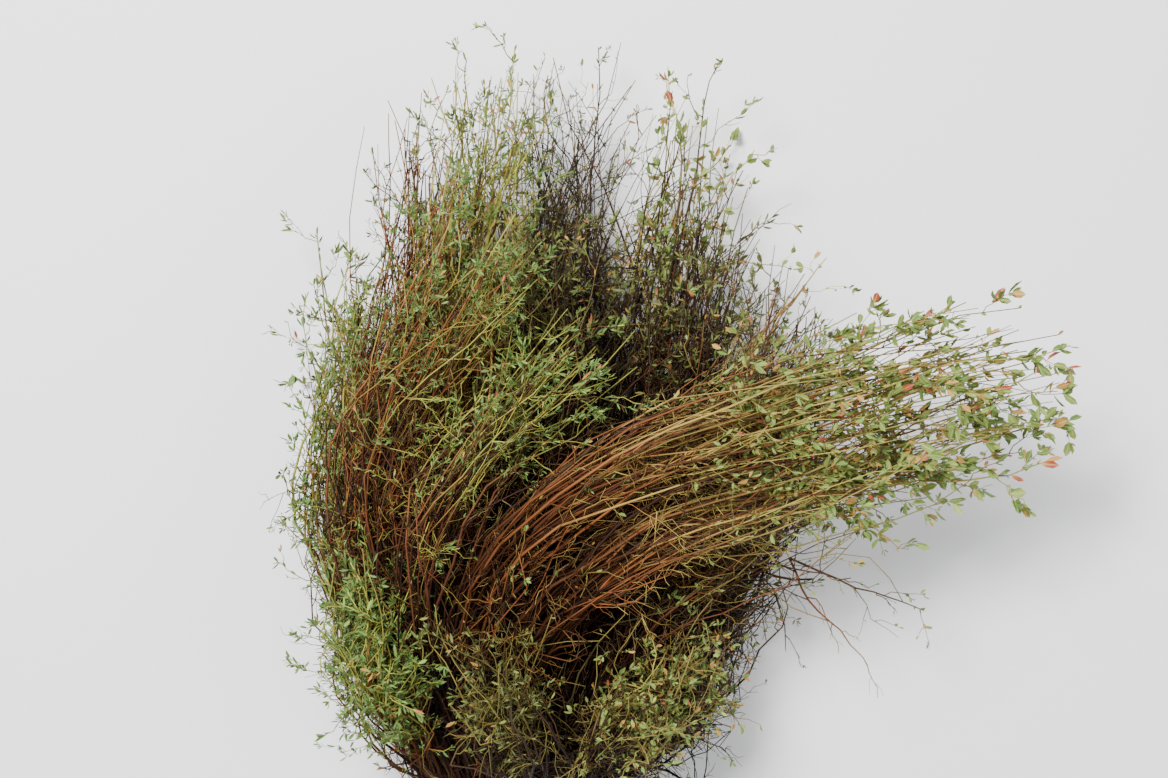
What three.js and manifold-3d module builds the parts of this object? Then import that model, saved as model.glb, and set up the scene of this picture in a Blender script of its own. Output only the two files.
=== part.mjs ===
// A tangled bunch of cut euphorbia stems, lying on its back on a surface.
// Millimetres, +Z up. +Y runs from the cut ends to the top tips, +X is the right of the bunch
// seen from above, and the origin is under the middle of its box, on the surface.
// The bunch is made of sprays. Each spray has a brown woody part, which starts as a tight handful
// of stems at the cut end and forks into single stems with twigs. Some stems carry a green leafy
// shoot, which is seated on the end of the wood.

import * as THREE from 'three';
import { mergeVertices } from 'three/addons/utils/BufferGeometryUtils.js';
import Module from 'manifold-3d';

const wasm = await Module();
wasm.setup();

// Clearances
const SEAT = 0.35; // between a green shoot and the wood it is seated on
const CLEAR = 0.5; // between parts of different sprays
const BENT_CLEAR = 0.6; // what bending aims at, so that the parts end up CLEAR
const FLOOR_CLEAR = 0.3; // between a twig and the surface below

// Handfuls of stems at the cut ends, stacked like pipes
const HANDFUL_RADIUS = 10.5;
const HANDFUL_PITCH = 2 * HANDFUL_RADIUS + 0.4;
const HANDFUL_SIDES = 12; // every second corner is a ridge, so that six stems show round it
const FLUTE_DEPTH = 0.12; // share of the radius
const STACK_MIDDLE_X = -52;
const STACK_COLUMNS = 7;
const CUT_Y = -420;
const CUT_STAGGER = 14; // how much the cut ends differ in length
const STACK_END_Y = -348; // where the handfuls part into stems

// Woody stems, twigs and green shoots
const STEM_RADIUS = 3.4; // where a stem leaves its handful
const STEM_RING_PLACE = 0.48; // how far from a handful's middle its stems start, of its radius
const STEM_SINK = 16; // how deep a stem's root lies in its handful
const STEM_RINGS = 8;
const GREEN_FROM_RING = 5; // where a green shoot takes over from the wood
const TWIG_RINGS = 4;
const TWIG_ROOT_RADIUS = 1.7;
const SHOOT_ROOT_RADIUS = 1.3;
const TIP_RADIUS = 0.55;
const STEM_WAVE = 5; // how far a stem wanders from its smooth course
const STEM_TIP_WAVE = 10;
const STEM_TURN = 0.5; // radians by which a stem may wind round the spray's middle
const STEM_TAPER = 0.8; // power by which a stem thins along its length
const PARTED_AT = 0.8; // share of the course after which the stems are fully parted
const THINNEST_ROOT = 0.85; // share of a root's radius
const TUBE_SIDES = 3;

// Twigs. Rings are counted along the stem that carries them.
const WOOD_TWIGS = 1; // on each woody stem
const WOOD_TWIGS_FROM = 3;
const GREEN_TWIGS_FROM = 0.4; // after the first ring of the green shoot
const BARE_END = 0.3; // the last stretch of a stem that carries no twig
const TWIG_TURNS = 5; // how many places round the stem are tried for a twig
const TWIG_SLANT = 0.7; // how much a twig's root slants out
const TWIG_SIDEWAYS = [0.25, 0.5]; // shares of its reach between which a twig goes sideways
const TWIG_AHEAD = [0.7, 1.1]; // and along its stem
const TWIG_TIP_WAVE = 4;
const ROOT_PULL = 0.4; // shares of a twig's length that shape its bend
const TIP_PULL = 0.3;
const TWIG_WAVE = 0.12;
const STRAY_LONG = 110; // about how long a single twig that stands out is

// Leaves
const LEAF_LONG = 13;
const LEAF_HALF_WIDTH = 1.4;
const WHORL_THICK = 2; // where the leaves of a whorl meet
const NOTCH_RADIUS = 2.4; // how far from the shoot two neighbouring leaves part
const LEAF_CUP = 0.6; // radians by which leaves lean forwards
const WHORL_TURN = Math.PI / 4; // how far a whorl may be turned either way against its shoot
const TIP_LEAVES = 4; // round the end of a leafy shoot
const SIDE_LEAVES = 3; // round a shoot further down

const GOLDEN_ANGLE = 2.39996;
const SEED = 47;

// Colours
const BARK = { chestnut: 0x6e3a20, orange: 0x8a5027, dark: 0x3a2a20 };
const GREEN = { lime: 0x9aa84e, fresh: 0x6f9a45, olive: 0x6c7440 };

// The sprays, from the back of the bunch to its front. slot is the column and row in the stack of
// handfuls. route is where the spray's middle runs after the stack, and spread how far its stems
// part from that line. tips are the ends of the line on which its stems end. stems and green are
// how many stems it has and how many of them end in a green shoot, with twigs side twigs on each.
// reach is how long its twigs are, and strays are the tips of single twigs that stand out.
const SPRAYS = [
  {
    name: 'left_back', slot: [0, 0], bark: 'dark', leaf: 'olive',
    route: [[-146, -262, 22], [-186, -160, 26], [-194, -60, 32], [-184, 14, 44]],
    tips: [[-206, 56, 30], [-164, 84, 70]], spread: 26, stems: 5, green: 2, twigs: 2, reach: 60,
    strays: [[-240, -62, 24], [-238, -118, 30]],
  },
  {
    name: 'middle_back', slot: [1, 0], bark: 'chestnut', leaf: 'olive',
    route: [[-118, -250, 24], [-120, -120, 28], [-118, 0, 34], [-114, 90, 42]],
    tips: [[-162, 150, 40], [-90, 200, 60]], spread: 32, stems: 5, green: 2, twigs: 2, reach: 75,
  },
  {
    name: 'top_dark', slot: [2, 0], bark: 'dark', leaf: 'olive',
    route: [[-72, -230, 24], [-30, -60, 30], [-6, 90, 42], [-4, 150, 54]],
    tips: [[-46, 218, 40], [30, 236, 90]], spread: 34, stems: 5, green: 0, twigs: 0, reach: 85,
    strays: [[12, 284, 70], [-30, 262, 60]],
  },
  {
    name: 'arch_back', slot: [3, 0], bark: 'dark', leaf: 'lime',
    route: [[-10, -236, 24], [44, -80, 30], [54, 60, 48], [62, 130, 66]],
    tips: [[56, 236, 60], [124, 168, 110]], spread: 30, stems: 5, green: 2, twigs: 2, reach: 75,
    strays: [[69, 266, 80], [112, 270, 90], [140, 196, 90]],
  },
  {
    name: 'inner_right', slot: [4, 0], bark: 'chestnut', leaf: 'olive',
    route: [[14, -236, 50], [58, -110, 70], [92, 14, 84], [106, 58, 96]],
    tips: [[66, 146, 80], [148, 110, 130]], spread: 32, stems: 5, green: 2, twigs: 2, reach: 72,
  },
  {
    name: 'right_back', slot: [5, 0], bark: 'chestnut', leaf: 'olive',
    route: [[60, -250, 26], [116, -150, 30], [150, -30, 36], [160, 30, 44]],
    tips: [[154, 94, 40], [188, 34, 90]], spread: 33, stems: 5, green: 2, twigs: 2, reach: 65,
  },
  {
    name: 'low_right_back', slot: [6, 0], bark: 'dark', leaf: 'olive',
    route: [[70, -290, 30], [98, -232, 50], [120, -160, 64], [126, -110, 70]],
    tips: [[92, -256, 50], [144, -100, 100]], spread: 28, stems: 5, green: 0, twigs: 0, reach: 56,
  },
  {
    name: 'left_wall', slot: [0, 1], bark: 'chestnut', leaf: 'fresh',
    route: [[-160, -256, 66], [-194, -170, 84], [-204, -70, 90], [-196, -6, 98]],
    tips: [[-212, 50, 84], [-176, 76, 120]], spread: 24, stems: 5, green: 2, twigs: 3, reach: 58,
    strays: [[-219, 126, 90], [-188, 112, 104]],
  },
  {
    name: 'left_inner', slot: [1, 1], bark: 'orange', leaf: 'olive',
    route: [[-134, -240, 68], [-154, -110, 84], [-150, 10, 92], [-144, 72, 98]],
    tips: [[-158, 196, 80], [-116, 204, 130]], spread: 30, stems: 5, green: 2, twigs: 2, reach: 70,
  },
  {
    name: 'top_centre', slot: [2, 1], bark: 'orange', leaf: 'lime',
    route: [[-94, -220, 70], [-102, -60, 88], [-88, 80, 100], [-72, 140, 108]],
    tips: [[-108, 244, 90], [-30, 230, 140]], spread: 30, stems: 5, green: 2, twigs: 2, reach: 75,
    strays: [[-96, 268, 100], [-56, 278, 110]],
  },
  {
    name: 'centre', slot: [3, 1], bark: 'chestnut', leaf: 'olive',
    route: [[-46, -210, 84], [-32, -80, 106], [-8, 24, 114]],
    tips: [[-50, 112, 120], [36, 108, 150]], spread: 33, stems: 5, green: 2, twigs: 2, reach: 75,
  },
  {
    name: 'right_mid', slot: [4, 1], bark: 'orange', leaf: 'lime',
    route: [[-16, -220, 84], [22, -116, 118], [96, -28, 140]],
    tips: [[120, 66, 140], [180, 34, 180]], spread: 30, stems: 5, green: 2, twigs: 2, reach: 68,
    strays: [[196, 106, 120]],
  },
  {
    name: 'right_low', slot: [5, 1], bark: 'orange', leaf: 'lime',
    route: [[0, -260, 84], [40, -180, 118], [118, -124, 140]],
    tips: [[204, -54, 130], [226, -104, 180]], spread: 28, stems: 5, green: 2, twigs: 2, reach: 66,
    strays: [[232, -226, 96], [276, -180, 110], [212, -150, 150]],
  },
  {
    name: 'low_right', slot: [6, 1], bark: 'dark', leaf: 'lime',
    route: [[48, -300, 76], [78, -262, 100], [104, -214, 116]],
    tips: [[92, -276, 90], [132, -176, 150]], spread: 26, stems: 5, green: 2, twigs: 2, reach: 50,
  },
  {
    name: 'low_left', slot: [0, 2], bark: 'orange', leaf: 'fresh',
    route: [[-132, -312, 90], [-158, -268, 126], [-180, -206, 148], [-174, -160, 158]],
    tips: [[-212, -128, 130], [-126, -120, 184]], spread: 26, stems: 5, green: 2, twigs: 4, reach: 50,
  },
  {
    name: 'green_cushion', slot: [1, 2], bark: 'orange', leaf: 'fresh',
    route: [[-150, -230, 106], [-168, -100, 140], [-148, 10, 170], [-126, 60, 186]],
    tips: [[-132, 164, 170], [-26, 92, 220]], spread: 32, stems: 5, green: 2, twigs: 4, reach: 72,
  },
  {
    name: 'centre_diagonal', slot: [2, 2], bark: 'chestnut', leaf: 'fresh',
    route: [[-122, -216, 116], [-128, -110, 168], [-84, -28, 200], [-36, 6, 210]],
    tips: [[-36, 66, 200], [44, 14, 235]], spread: 28, stems: 5, green: 2, twigs: 4, reach: 65,
  },
  {
    name: 'right_upper', slot: [3, 2], bark: 'orange', leaf: 'lime',
    route: [[-92, -250, 104], [-92, -160, 156], [-20, -84, 196], [74, -38, 206], [190, -6, 196]],
    tips: [[276, 56, 150], [356, 22, 200]], spread: 28, stems: 6, green: 2, twigs: 4, reach: 66,
    strays: [[380, 34, 180]],
  },
  {
    name: 'right_lower', slot: [4, 2], bark: 'orange', leaf: 'lime',
    route: [[-54, -262, 100], [-48, -190, 146], [24, -130, 184], [112, -84, 194], [196, -56, 184]],
    tips: [[344, 2, 190], [280, -76, 160]], spread: 26, stems: 6, green: 2, twigs: 4, reach: 64,
    strays: [[376, -18, 170], [362, -56, 180]],
  },
  {
    name: 'low_centre', slot: [5, 2], bark: 'dark', leaf: 'olive',
    route: [[-30, -314, 104], [-48, -276, 152], [-66, -236, 180], [-72, -206, 190]],
    tips: [[-122, -186, 184], [-24, -180, 202]], spread: 28, stems: 5, green: 2, twigs: 2, reach: 50,
  },
  {
    name: 'low_front', slot: [6, 2], bark: 'dark', leaf: 'lime',
    route: [[0, -312, 92], [18, -284, 130], [44, -252, 156], [66, -226, 164]],
    tips: [[88, -172, 170], [82, -276, 130]], spread: 30, stems: 5, green: 2, twigs: 4, reach: 56,
  },
];

// A small random generator, so that every build draws the same numbers
function makeRandom(seed) {
  let state = seed >>> 0;
  return () => {
    state = (state + 0x6d2b79f5) >>> 0;
    let mixed = Math.imul(state ^ (state >>> 15), 1 | state);
    mixed = (mixed + Math.imul(mixed ^ (mixed >>> 7), 61 | mixed)) ^ mixed;
    return ((mixed ^ (mixed >>> 14)) >>> 0) / 4294967296;
  };
}

const random = makeRandom(SEED);

function between(low, high) {
  return low + (high - low) * random();
}

function jitter(size) {
  return new THREE.Vector3(between(-size, size), between(-size, size), between(-size, size));
}

// The closest points of two straight stretches, as shares of their lengths
function closestShares(a, b, c, d) {
  const u = b.clone().sub(a);
  const v = d.clone().sub(c);
  const w = a.clone().sub(c);
  const uu = Math.max(u.dot(u), 1e-9);
  const vv = Math.max(v.dot(v), 1e-9);
  const uv = u.dot(v);
  const uw = u.dot(w);
  const vw = v.dot(w);
  const slack = uu * vv - uv * uv;
  let s = slack > 1e-9 ? (uv * vw - vv * uw) / slack : 0;
  s = THREE.MathUtils.clamp(s, 0, 1);
  const t = THREE.MathUtils.clamp((uv * s + vw) / vv, 0, 1);
  s = THREE.MathUtils.clamp((uv * t - uw) / uu, 0, 1);
  return [s, t];
}

// How deep one round stretch reaches into another, and which way out is shortest
function intrusion(one, other, clear) {
  const [s, t] = closestShares(one.a, one.b, other.a, other.b);
  const here = one.a.clone().lerp(one.b, s);
  const there = other.a.clone().lerp(other.b, t);
  const apart = here.sub(there);
  const distance = apart.length();
  const radii = THREE.MathUtils.lerp(one.ra, one.rb, s) + THREE.MathUtils.lerp(other.ra, other.rb, t);
  return { depth: radii + clear - distance, way: apart.divideScalar(Math.max(distance, 1e-6)), s, t };
}

// All that has been placed, in cells, so that only near neighbours are compared
const CELL = 30;
const CELL_MARGIN = 2;
const placed = new Map();

function cellsOf(stretch) {
  const reach = Math.max(stretch.ra, stretch.rb) + CELL_MARGIN;
  const low = stretch.a.clone().min(stretch.b).subScalar(reach).divideScalar(CELL).floor();
  const high = stretch.a.clone().max(stretch.b).addScalar(reach).divideScalar(CELL).floor();
  const keys = [];
  for (let x = low.x; x <= high.x; x += 1) {
    for (let y = low.y; y <= high.y; y += 1) {
      for (let z = low.z; z <= high.z; z += 1) keys.push(`${x},${y},${z}`);
    }
  }
  return keys;
}

function place(stretch) {
  for (const key of cellsOf(stretch)) {
    if (!placed.has(key)) placed.set(key, []);
    placed.get(key).push(stretch);
  }
}

// What lies near and may not be touched: all but the same stem, what it grows from, and the
// roots of its sisters
function neighbours(stretch) {
  const found = new Set();
  for (const key of cellsOf(stretch)) {
    for (const other of placed.get(key) ?? []) {
      const isOwn = other.stem === stretch.stem || other.stem === stretch.parent;
      const isSister = other.isRoot && stretch.isRoot && other.node === stretch.node;
      if (!isOwn && !isSister) found.add(other);
    }
  }
  return found;
}

// A tube as round stretches from ring to ring. From its ring greenFrom on it is another node's.
function stretchesOf(tube) {
  return tube.points.slice(0, -1).map((point, k) => ({
    node: k < tube.greenFrom ? tube.node : tube.greenNode,
    stem: tube.stem,
    parent: tube.parent,
    isRoot: k === 0,
    a: point,
    b: tube.points[k + 1],
    ra: tube.radii[k],
    rb: tube.radii[k + 1],
  }));
}

function isClear(stretches) {
  return stretches.every((one) => [...neighbours(one)].every(
    (other) => intrusion(one, other, CLEAR).depth <= 0,
  ));
}

// Bends a tube away from what is already there. Its root stays where it is.
const BEND_PASSES = 36;
const CLEAR_PASSES = 8; // the last ones, which no longer smooth the tube
const MOST_BEND = 4; // in one pass
const BEND_SHARE = 1.2; // of how deep one stretch reaches into the other
const FAR_END_SHARE = 0.1; // more for the end further along the tube
const SMOOTHING = 0.12;

function bendClear(tube) {
  const { points, radii } = tube;
  for (let pass = 0; pass < BEND_PASSES; pass += 1) {
    let moved = false;
    stretchesOf(tube).forEach((one, k) => {
      for (const other of neighbours(one)) {
        const hit = intrusion(one, other, BENT_CLEAR);
        if (hit.depth <= 0) continue;
        moved = true;
        const push = Math.min(hit.depth * BEND_SHARE, MOST_BEND);
        if (k >= tube.fixed) points[k].addScaledVector(hit.way, push * (1 - hit.s));
        if (k + 1 >= tube.fixed) {
          points[k + 1].addScaledVector(hit.way, push * (FAR_END_SHARE + hit.s));
        }
      }
    });
    points.forEach((point, k) => {
      if (k >= tube.fixed) point.z = Math.max(point.z, radii[k] + FLOOR_CLEAR);
    });
    if (!moved) return true;
    if (pass < BEND_PASSES - CLEAR_PASSES) smoothOut(points, tube.fixed);
  }
  return isClear(stretchesOf(tube));
}

function smoothOut(points, fixed) {
  for (let k = fixed; k + 1 < points.length; k += 1) {
    const halfway = points[k - 1].clone().add(points[k + 1]).multiplyScalar(0.5);
    points[k].lerp(halfway, SMOOTHING);
  }
}

// Directions across a line of points, carried along it without twisting
function framesAlong(points, firstAcross) {
  let across = firstAcross.clone();
  return points.map((point, i) => {
    const before = points[Math.max(i - 1, 0)];
    const after = points[Math.min(i + 1, points.length - 1)];
    const along = after.clone().sub(before).normalize();
    across = across.clone().addScaledVector(along, -across.dot(along)).normalize();
    return { along, across, up: new THREE.Vector3().crossVectors(along, across) };
  });
}

function sideways(frame, angle) {
  return frame.across.clone().multiplyScalar(Math.cos(angle))
    .addScaledVector(frame.up, Math.sin(angle));
}

// One ring of a loft: its corners lie round a middle point, and may be lifted along the line
function ringOf(middle, frame, sides, radiusAt, lift = 0) {
  return Array.from({ length: sides }, (_, i) => {
    const radius = radiusAt(i);
    return middle.clone()
      .addScaledVector(sideways(frame, (i / sides) * Math.PI * 2), radius)
      .addScaledVector(frame.along, radius * lift);
  });
}

// The triangles between two rings, which may have different numbers of corners
function stitch(lower, upper) {
  if (upper.length === 1) {
    return lower.map((corner, i) => [corner, lower[(i + 1) % lower.length], upper[0]]);
  }
  const triangles = [];
  let i = 0;
  let j = 0;
  while (i < lower.length || j < upper.length) {
    const isLowerNext = (i + 1) / lower.length <= (j + 1) / upper.length + 1e-9;
    const from = lower[i % lower.length];
    const to = upper[j % upper.length];
    if (isLowerNext) {
      i += 1;
      triangles.push([from, lower[i % lower.length], to]);
    } else {
      j += 1;
      triangles.push([from, upper[j % upper.length], to]);
    }
  }
  return triangles;
}

// A closed solid through rings of corners. A last ring of one corner is a point.
function loftSolid(rings) {
  const corners = rings.flat();
  const numberOf = new Map(corners.map((corner, i) => [corner, i]));
  const triangles = [];
  for (let k = 0; k + 1 < rings.length; k += 1) triangles.push(...stitch(rings[k], rings[k + 1]));
  const [first, last] = [rings[0], rings[rings.length - 1]];
  for (let i = 1; i + 1 < first.length; i += 1) triangles.push([first[0], first[i + 1], first[i]]);
  for (let i = 1; i + 1 < last.length; i += 1) triangles.push([last[0], last[i], last[i + 1]]);
  const geometry = new THREE.BufferGeometry().setFromPoints(corners);
  geometry.setIndex(triangles.flat().map((corner) => numberOf.get(corner)));
  return solidOf(geometry);
}

function solidOf(geometry) {
  const merged = mergeVertices(geometry, 1e-4);
  return new wasm.Manifold(new wasm.Mesh({
    numProp: 3,
    vertProperties: new Float32Array(merged.attributes.position.array),
    triVerts: new Uint32Array(merged.index.array),
  }));
}

// One body out of many. A scrap that hangs on nothing is dropped.
function fuse(solids) {
  const bodies = solids.reduce((whole, solid) => whole.add(solid)).decompose();
  return bodies.reduce((most, body) => (body.volume() > most.volume() ? body : most));
}

// The handful at the cut end of a spray
function slotPlace(slot, y) {
  const [column, row] = slot;
  const shift = (column - (STACK_COLUMNS - 1) / 2) * HANDFUL_PITCH;
  const half = ((row % 2) - 0.5) * HANDFUL_PITCH / 2;
  const z = HANDFUL_RADIUS + row * HANDFUL_PITCH * Math.sqrt(3) / 2;
  return new THREE.Vector3(STACK_MIDDLE_X + shift + half, y, z);
}

function placeHandful(spray) {
  const ends = [CUT_Y + between(0, CUT_STAGGER), STACK_END_Y + between(-6, 6)];
  spray.handful = ends.map((y) => slotPlace(spray.slot, y));
  place({
    node: `${spray.name}_wood`,
    stem: `${spray.name} handful`,
    a: spray.handful[0],
    b: spray.handful[1],
    ra: HANDFUL_RADIUS,
    rb: HANDFUL_RADIUS,
  });
}

function handfulSolid(spray) {
  const frames = framesAlong(spray.handful, new THREE.Vector3(1, 0, 0));
  const radiusAt = (i) => HANDFUL_RADIUS * (i % 2 === 0 ? 1 : 1 - FLUTE_DEPTH);
  return loftSolid(spray.handful.map((middle, k) => (
    ringOf(middle, frames[k], HANDFUL_SIDES, radiusAt)
  )));
}

// The course of one stem of a spray, from inside the handful to its tip
function stemCourse(spray, number, turn) {
  const root = spray.handful[1];
  const [from, to] = spray.tips.map((point) => new THREE.Vector3(...point));
  const line = new THREE.CatmullRomCurve3(
    [root, ...spray.route.map((point) => new THREE.Vector3(...point))], false, 'centripetal',
  );
  const middles = line.getSpacedPoints(STEM_RINGS);
  const frames = framesAlong(middles, new THREE.Vector3(1, 0, 0));
  const angle = (number / spray.stems) * Math.PI * 2 + spray.phase;
  const part = spray.spread * Math.sqrt((number + 0.7) / spray.stems);
  const tip = from.clone().lerp(to, ((number * 2) % spray.stems + 0.5) / spray.stems);
  const points = middles.map((middle, k) => {
    const share = k / STEM_RINGS;
    const away = THREE.MathUtils.lerp(
      HANDFUL_RADIUS * STEM_RING_PLACE, part, THREE.MathUtils.smoothstep(share, 0, PARTED_AT),
    );
    return middle.clone().addScaledVector(sideways(frames[k], angle + turn * share), away)
      .add(jitter(STEM_WAVE * Math.min(share * 3, 1)));
  });
  points[0].y -= STEM_SINK;
  const course = new THREE.CatmullRomCurve3([...points.slice(0, -2), tip.add(jitter(STEM_TIP_WAVE))]);
  return [points[0], ...course.getSpacedPoints(STEM_RINGS - 1).slice(1)];
}

const DRAWS = 10;

function growStem(spray, number) {
  const isGreen = number < spray.green;
  const rootRadius = STEM_RADIUS * between(THINNEST_ROOT, 1);
  for (let draw = 0; draw < DRAWS; draw += 1) {
    const points = stemCourse(spray, number, between(-STEM_TURN, STEM_TURN) * (1 + draw));
    const radii = points.map((_, k) => (
      THREE.MathUtils.lerp(rootRadius, TIP_RADIUS, (k / (STEM_RINGS - 1)) ** STEM_TAPER)
    ));
    const tube = {
      node: `${spray.name}_wood`,
      greenNode: `${spray.name}_shoot_${number + 1}`,
      greenFrom: isGreen ? GREEN_FROM_RING : STEM_RINGS,
      stem: `${spray.name} ${number}`,
      parent: `${spray.name} handful`,
      fixed: 1,
      number,
      points,
      radii,
    };
    if (!bendClear(tube)) continue;
    stretchesOf(tube).forEach(place);
    return tube;
  }
  return null;
}

// A twig from a root to a tip, bent clear of the others, or null if there is no room for it
let twigCount = 0;

function growTwig(parent, node, root, lean, tip, rootRadius) {
  twigCount += 1;
  for (let draw = 0; draw < DRAWS; draw += 1) {
    const target = tip.clone().add(jitter(TWIG_TIP_WAVE + 5 * draw));
    const long = root.distanceTo(target);
    const curve = new THREE.CubicBezierCurve3(
      root.clone(),
      root.clone().addScaledVector(lean, long * ROOT_PULL),
      target.clone().lerp(root, TIP_PULL).add(jitter(long * TWIG_WAVE)),
      target,
    );
    const points = curve.getSpacedPoints(TWIG_RINGS - 1);
    const radii = points.map((_, k) => (
      THREE.MathUtils.lerp(rootRadius, TIP_RADIUS, k / (TWIG_RINGS - 1))
    ));
    const stem = `twig ${twigCount}`;
    const tube = {
      node, greenNode: node, greenFrom: TWIG_RINGS, stem, parent, fixed: 1, points, radii,
    };
    if (!bendClear(tube)) continue;
    stretchesOf(tube).forEach(place);
    return tube;
  }
  return null;
}

// Twigs that leave a stem between two of its rings, turned round it by the golden angle
function twigsFrom(spray, tube, node, firstRing, lastRing, count, rootRadius) {
  const frames = tubeFrames(tube);
  const twigs = [];
  for (let i = 0; i < count; i += 1) {
    const way = THREE.MathUtils.lerp(firstRing, lastRing, (i + between(0.2, 0.8)) / count);
    const ring = Math.floor(way);
    const root = tube.points[ring].clone().lerp(tube.points[ring + 1], way % 1);
    for (let turn = 0; turn < TWIG_TURNS; turn += 1) {
      const out = sideways(frames[ring], GOLDEN_ANGLE * (i + turn * 3) + spray.phase);
      const lean = frames[ring].along.clone().addScaledVector(out, TWIG_SLANT).normalize();
      const tip = root.clone().addScaledVector(out, spray.reach * between(...TWIG_SIDEWAYS))
        .addScaledVector(frames[ring].along, spray.reach * between(...TWIG_AHEAD));
      const radius = Math.min(rootRadius, tube.radii[ring + 1] * 0.9);
      const twig = growTwig(tube.stem, node, root, lean, tip, radius);
      if (twig !== null) {
        twigs.push(twig);
        break;
      }
    }
  }
  return twigs;
}

// Single twigs that stand out of the bunch. Each starts from the woody stem that lies nearest.
function strayTwigs(spray, node) {
  const twigs = (spray.strays ?? []).map((spot) => {
    const tip = new THREE.Vector3(...spot);
    const starts = spray.grown.flatMap((stem) => {
      const wood = stem.points.slice(2, Math.min(stem.greenFrom, STEM_RINGS - 1));
      return wood.map((point, i) => ({ point, stem, ring: i + 2 }));
    });
    const cost = ({ point }) => Math.abs(point.distanceTo(tip) - STRAY_LONG);
    const start = starts.reduce((best, each) => (cost(each) < cost(best) ? each : best));
    const frame = tubeFrames(start.stem)[start.ring];
    return growTwig(start.stem.stem, node, start.point, frame.along, tip, TWIG_ROOT_RADIUS);
  });
  return twigs.filter((twig) => twig !== null);
}

function tubeFrames(tube) {
  const start = tube.points[1].clone().sub(tube.points[0]).normalize();
  const isSteep = Math.abs(start.z) > 0.8;
  return framesAlong(tube.points, isSteep ? new THREE.Vector3(1, 0, 0) : new THREE.Vector3(0, 0, 1));
}

// The stretch of a tube between two rings, bare. It ends flat, or in a point at the tube's tip.
function bareSolid(tube, firstRing, lastRing) {
  const frames = tubeFrames(tube);
  const rings = [];
  for (let k = firstRing; k <= lastRing; k += 1) {
    const isTip = k === tube.points.length - 1;
    const corners = isTip ? 1 : TUBE_SIDES;
    rings.push(ringOf(tube.points[k], frames[k], corners, () => (isTip ? 0 : tube.radii[k])));
  }
  return loftSolid(rings);
}

// A whorl is a pointed star of leaves round a shoot, cupped forwards. Where there is no room for
// it, the shoot stays bare.
function planWhorl(node, stem, middle, frame, leaves) {
  const lengths = Array.from({ length: leaves }, () => LEAF_LONG * between(0.7, 1));
  const turned = { ...frame, across: sideways(frame, between(-WHORL_TURN, WHORL_TURN)) };
  turned.up = new THREE.Vector3().crossVectors(turned.along, turned.across);
  const radiusAt = (i) => (i % 2 === 0 ? lengths[i / 2] * Math.cos(LEAF_CUP) : NOTCH_RADIUS);
  const star = ringOf(middle, turned, 2 * leaves, radiusAt, Math.tan(LEAF_CUP));
  const blades = lengths.map((_, i) => (
    { node, stem, a: middle, b: star[2 * i], ra: NOTCH_RADIUS, rb: LEAF_HALF_WIDTH }
  ));
  const isLow = star.some((corner) => corner.z < FLOOR_CLEAR);
  if (isLow || !isClear(blades)) return null;
  blades.forEach(place);
  return star;
}

// The stretch of a tube from a ring to its tip, with whorls of leaves on its last rings
function leafySolid(tube, node, firstRing, whorls, lift) {
  const frames = tubeFrames(tube);
  const last = tube.points.length - 1;
  const foot = tube.points[firstRing].clone().addScaledVector(frames[firstRing].along, lift);
  const rings = [ringOf(foot, frames[firstRing], TUBE_SIDES, () => tube.radii[firstRing])];
  for (let k = firstRing + 1; k <= last; k += 1) {
    const isEnd = k === last;
    const star = k <= last - whorls ? null : planWhorl(
      node, tube.stem, tube.points[k], frames[k], isEnd ? TIP_LEAVES : SIDE_LEAVES,
    );
    const moved = (shift) => tube.points[k].clone().addScaledVector(frames[k].along, shift);
    const corners = (shift) => ringOf(moved(shift), frames[k], TUBE_SIDES, () => tube.radii[k]);
    if (star !== null) rings.push(corners(-WHORL_THICK / 2), star);
    if (isEnd) rings.push([moved(WHORL_THICK)]);
    else rings.push(corners(star === null ? 0 : WHORL_THICK / 2));
  }
  return loftSolid(rings);
}

function meshOf(name, solid, colour) {
  const { vertProperties, triVerts } = solid.getMesh();
  const geometry = new THREE.BufferGeometry();
  geometry.setAttribute('position', new THREE.BufferAttribute(vertProperties, 3));
  geometry.setIndex(new THREE.BufferAttribute(triVerts, 1));
  geometry.computeVertexNormals();
  const material = new THREE.MeshStandardMaterial({ color: colour, roughness: 0.8, metalness: 0 });
  const mesh = new THREE.Mesh(geometry, material);
  mesh.name = name;
  return mesh;
}

// The brown part of a spray
function woodMesh(spray) {
  const node = `${spray.name}_wood`;
  const solids = [handfulSolid(spray)];
  for (const stem of spray.grown) {
    const lastRing = Math.min(stem.greenFrom, STEM_RINGS - 1);
    solids.push(bareSolid(stem, 0, lastRing));
    const twigs = twigsFrom(
      spray, stem, node, WOOD_TWIGS_FROM, lastRing - BARE_END, WOOD_TWIGS, TWIG_ROOT_RADIUS,
    );
    const whorls = stem.number === 1 ? 1 : 0;
    solids.push(...twigs.map((twig) => leafySolid(twig, node, 0, whorls, 0)));
  }
  solids.push(...strayTwigs(spray, node).map((twig) => leafySolid(twig, node, 0, 1, 0)));
  return meshOf(node, fuse(solids), BARK[spray.bark]);
}

// A green shoot of a spray, seated on the end of the wood
function shootMesh(spray, stem) {
  const node = stem.greenNode;
  const first = stem.greenFrom;
  const solids = [leafySolid(stem, node, first, 2, SEAT)];
  const twigs = twigsFrom(
    spray, stem, node, first + GREEN_TWIGS_FROM, STEM_RINGS - 1 - BARE_END, spray.twigs,
    SHOOT_ROOT_RADIUS,
  );
  solids.push(...twigs.map((twig, i) => leafySolid(twig, node, 0, 1 + (i % 2), 0)));
  return meshOf(node, fuse(solids), GREEN[spray.leaf]);
}

for (const spray of SPRAYS) {
  spray.phase = between(0, Math.PI * 2);
  placeHandful(spray);
}
for (const spray of SPRAYS) {
  const numbers = Array.from({ length: spray.stems }, (_, i) => i);
  spray.grown = numbers.map((number) => growStem(spray, number)).filter((stem) => stem !== null);
}

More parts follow.
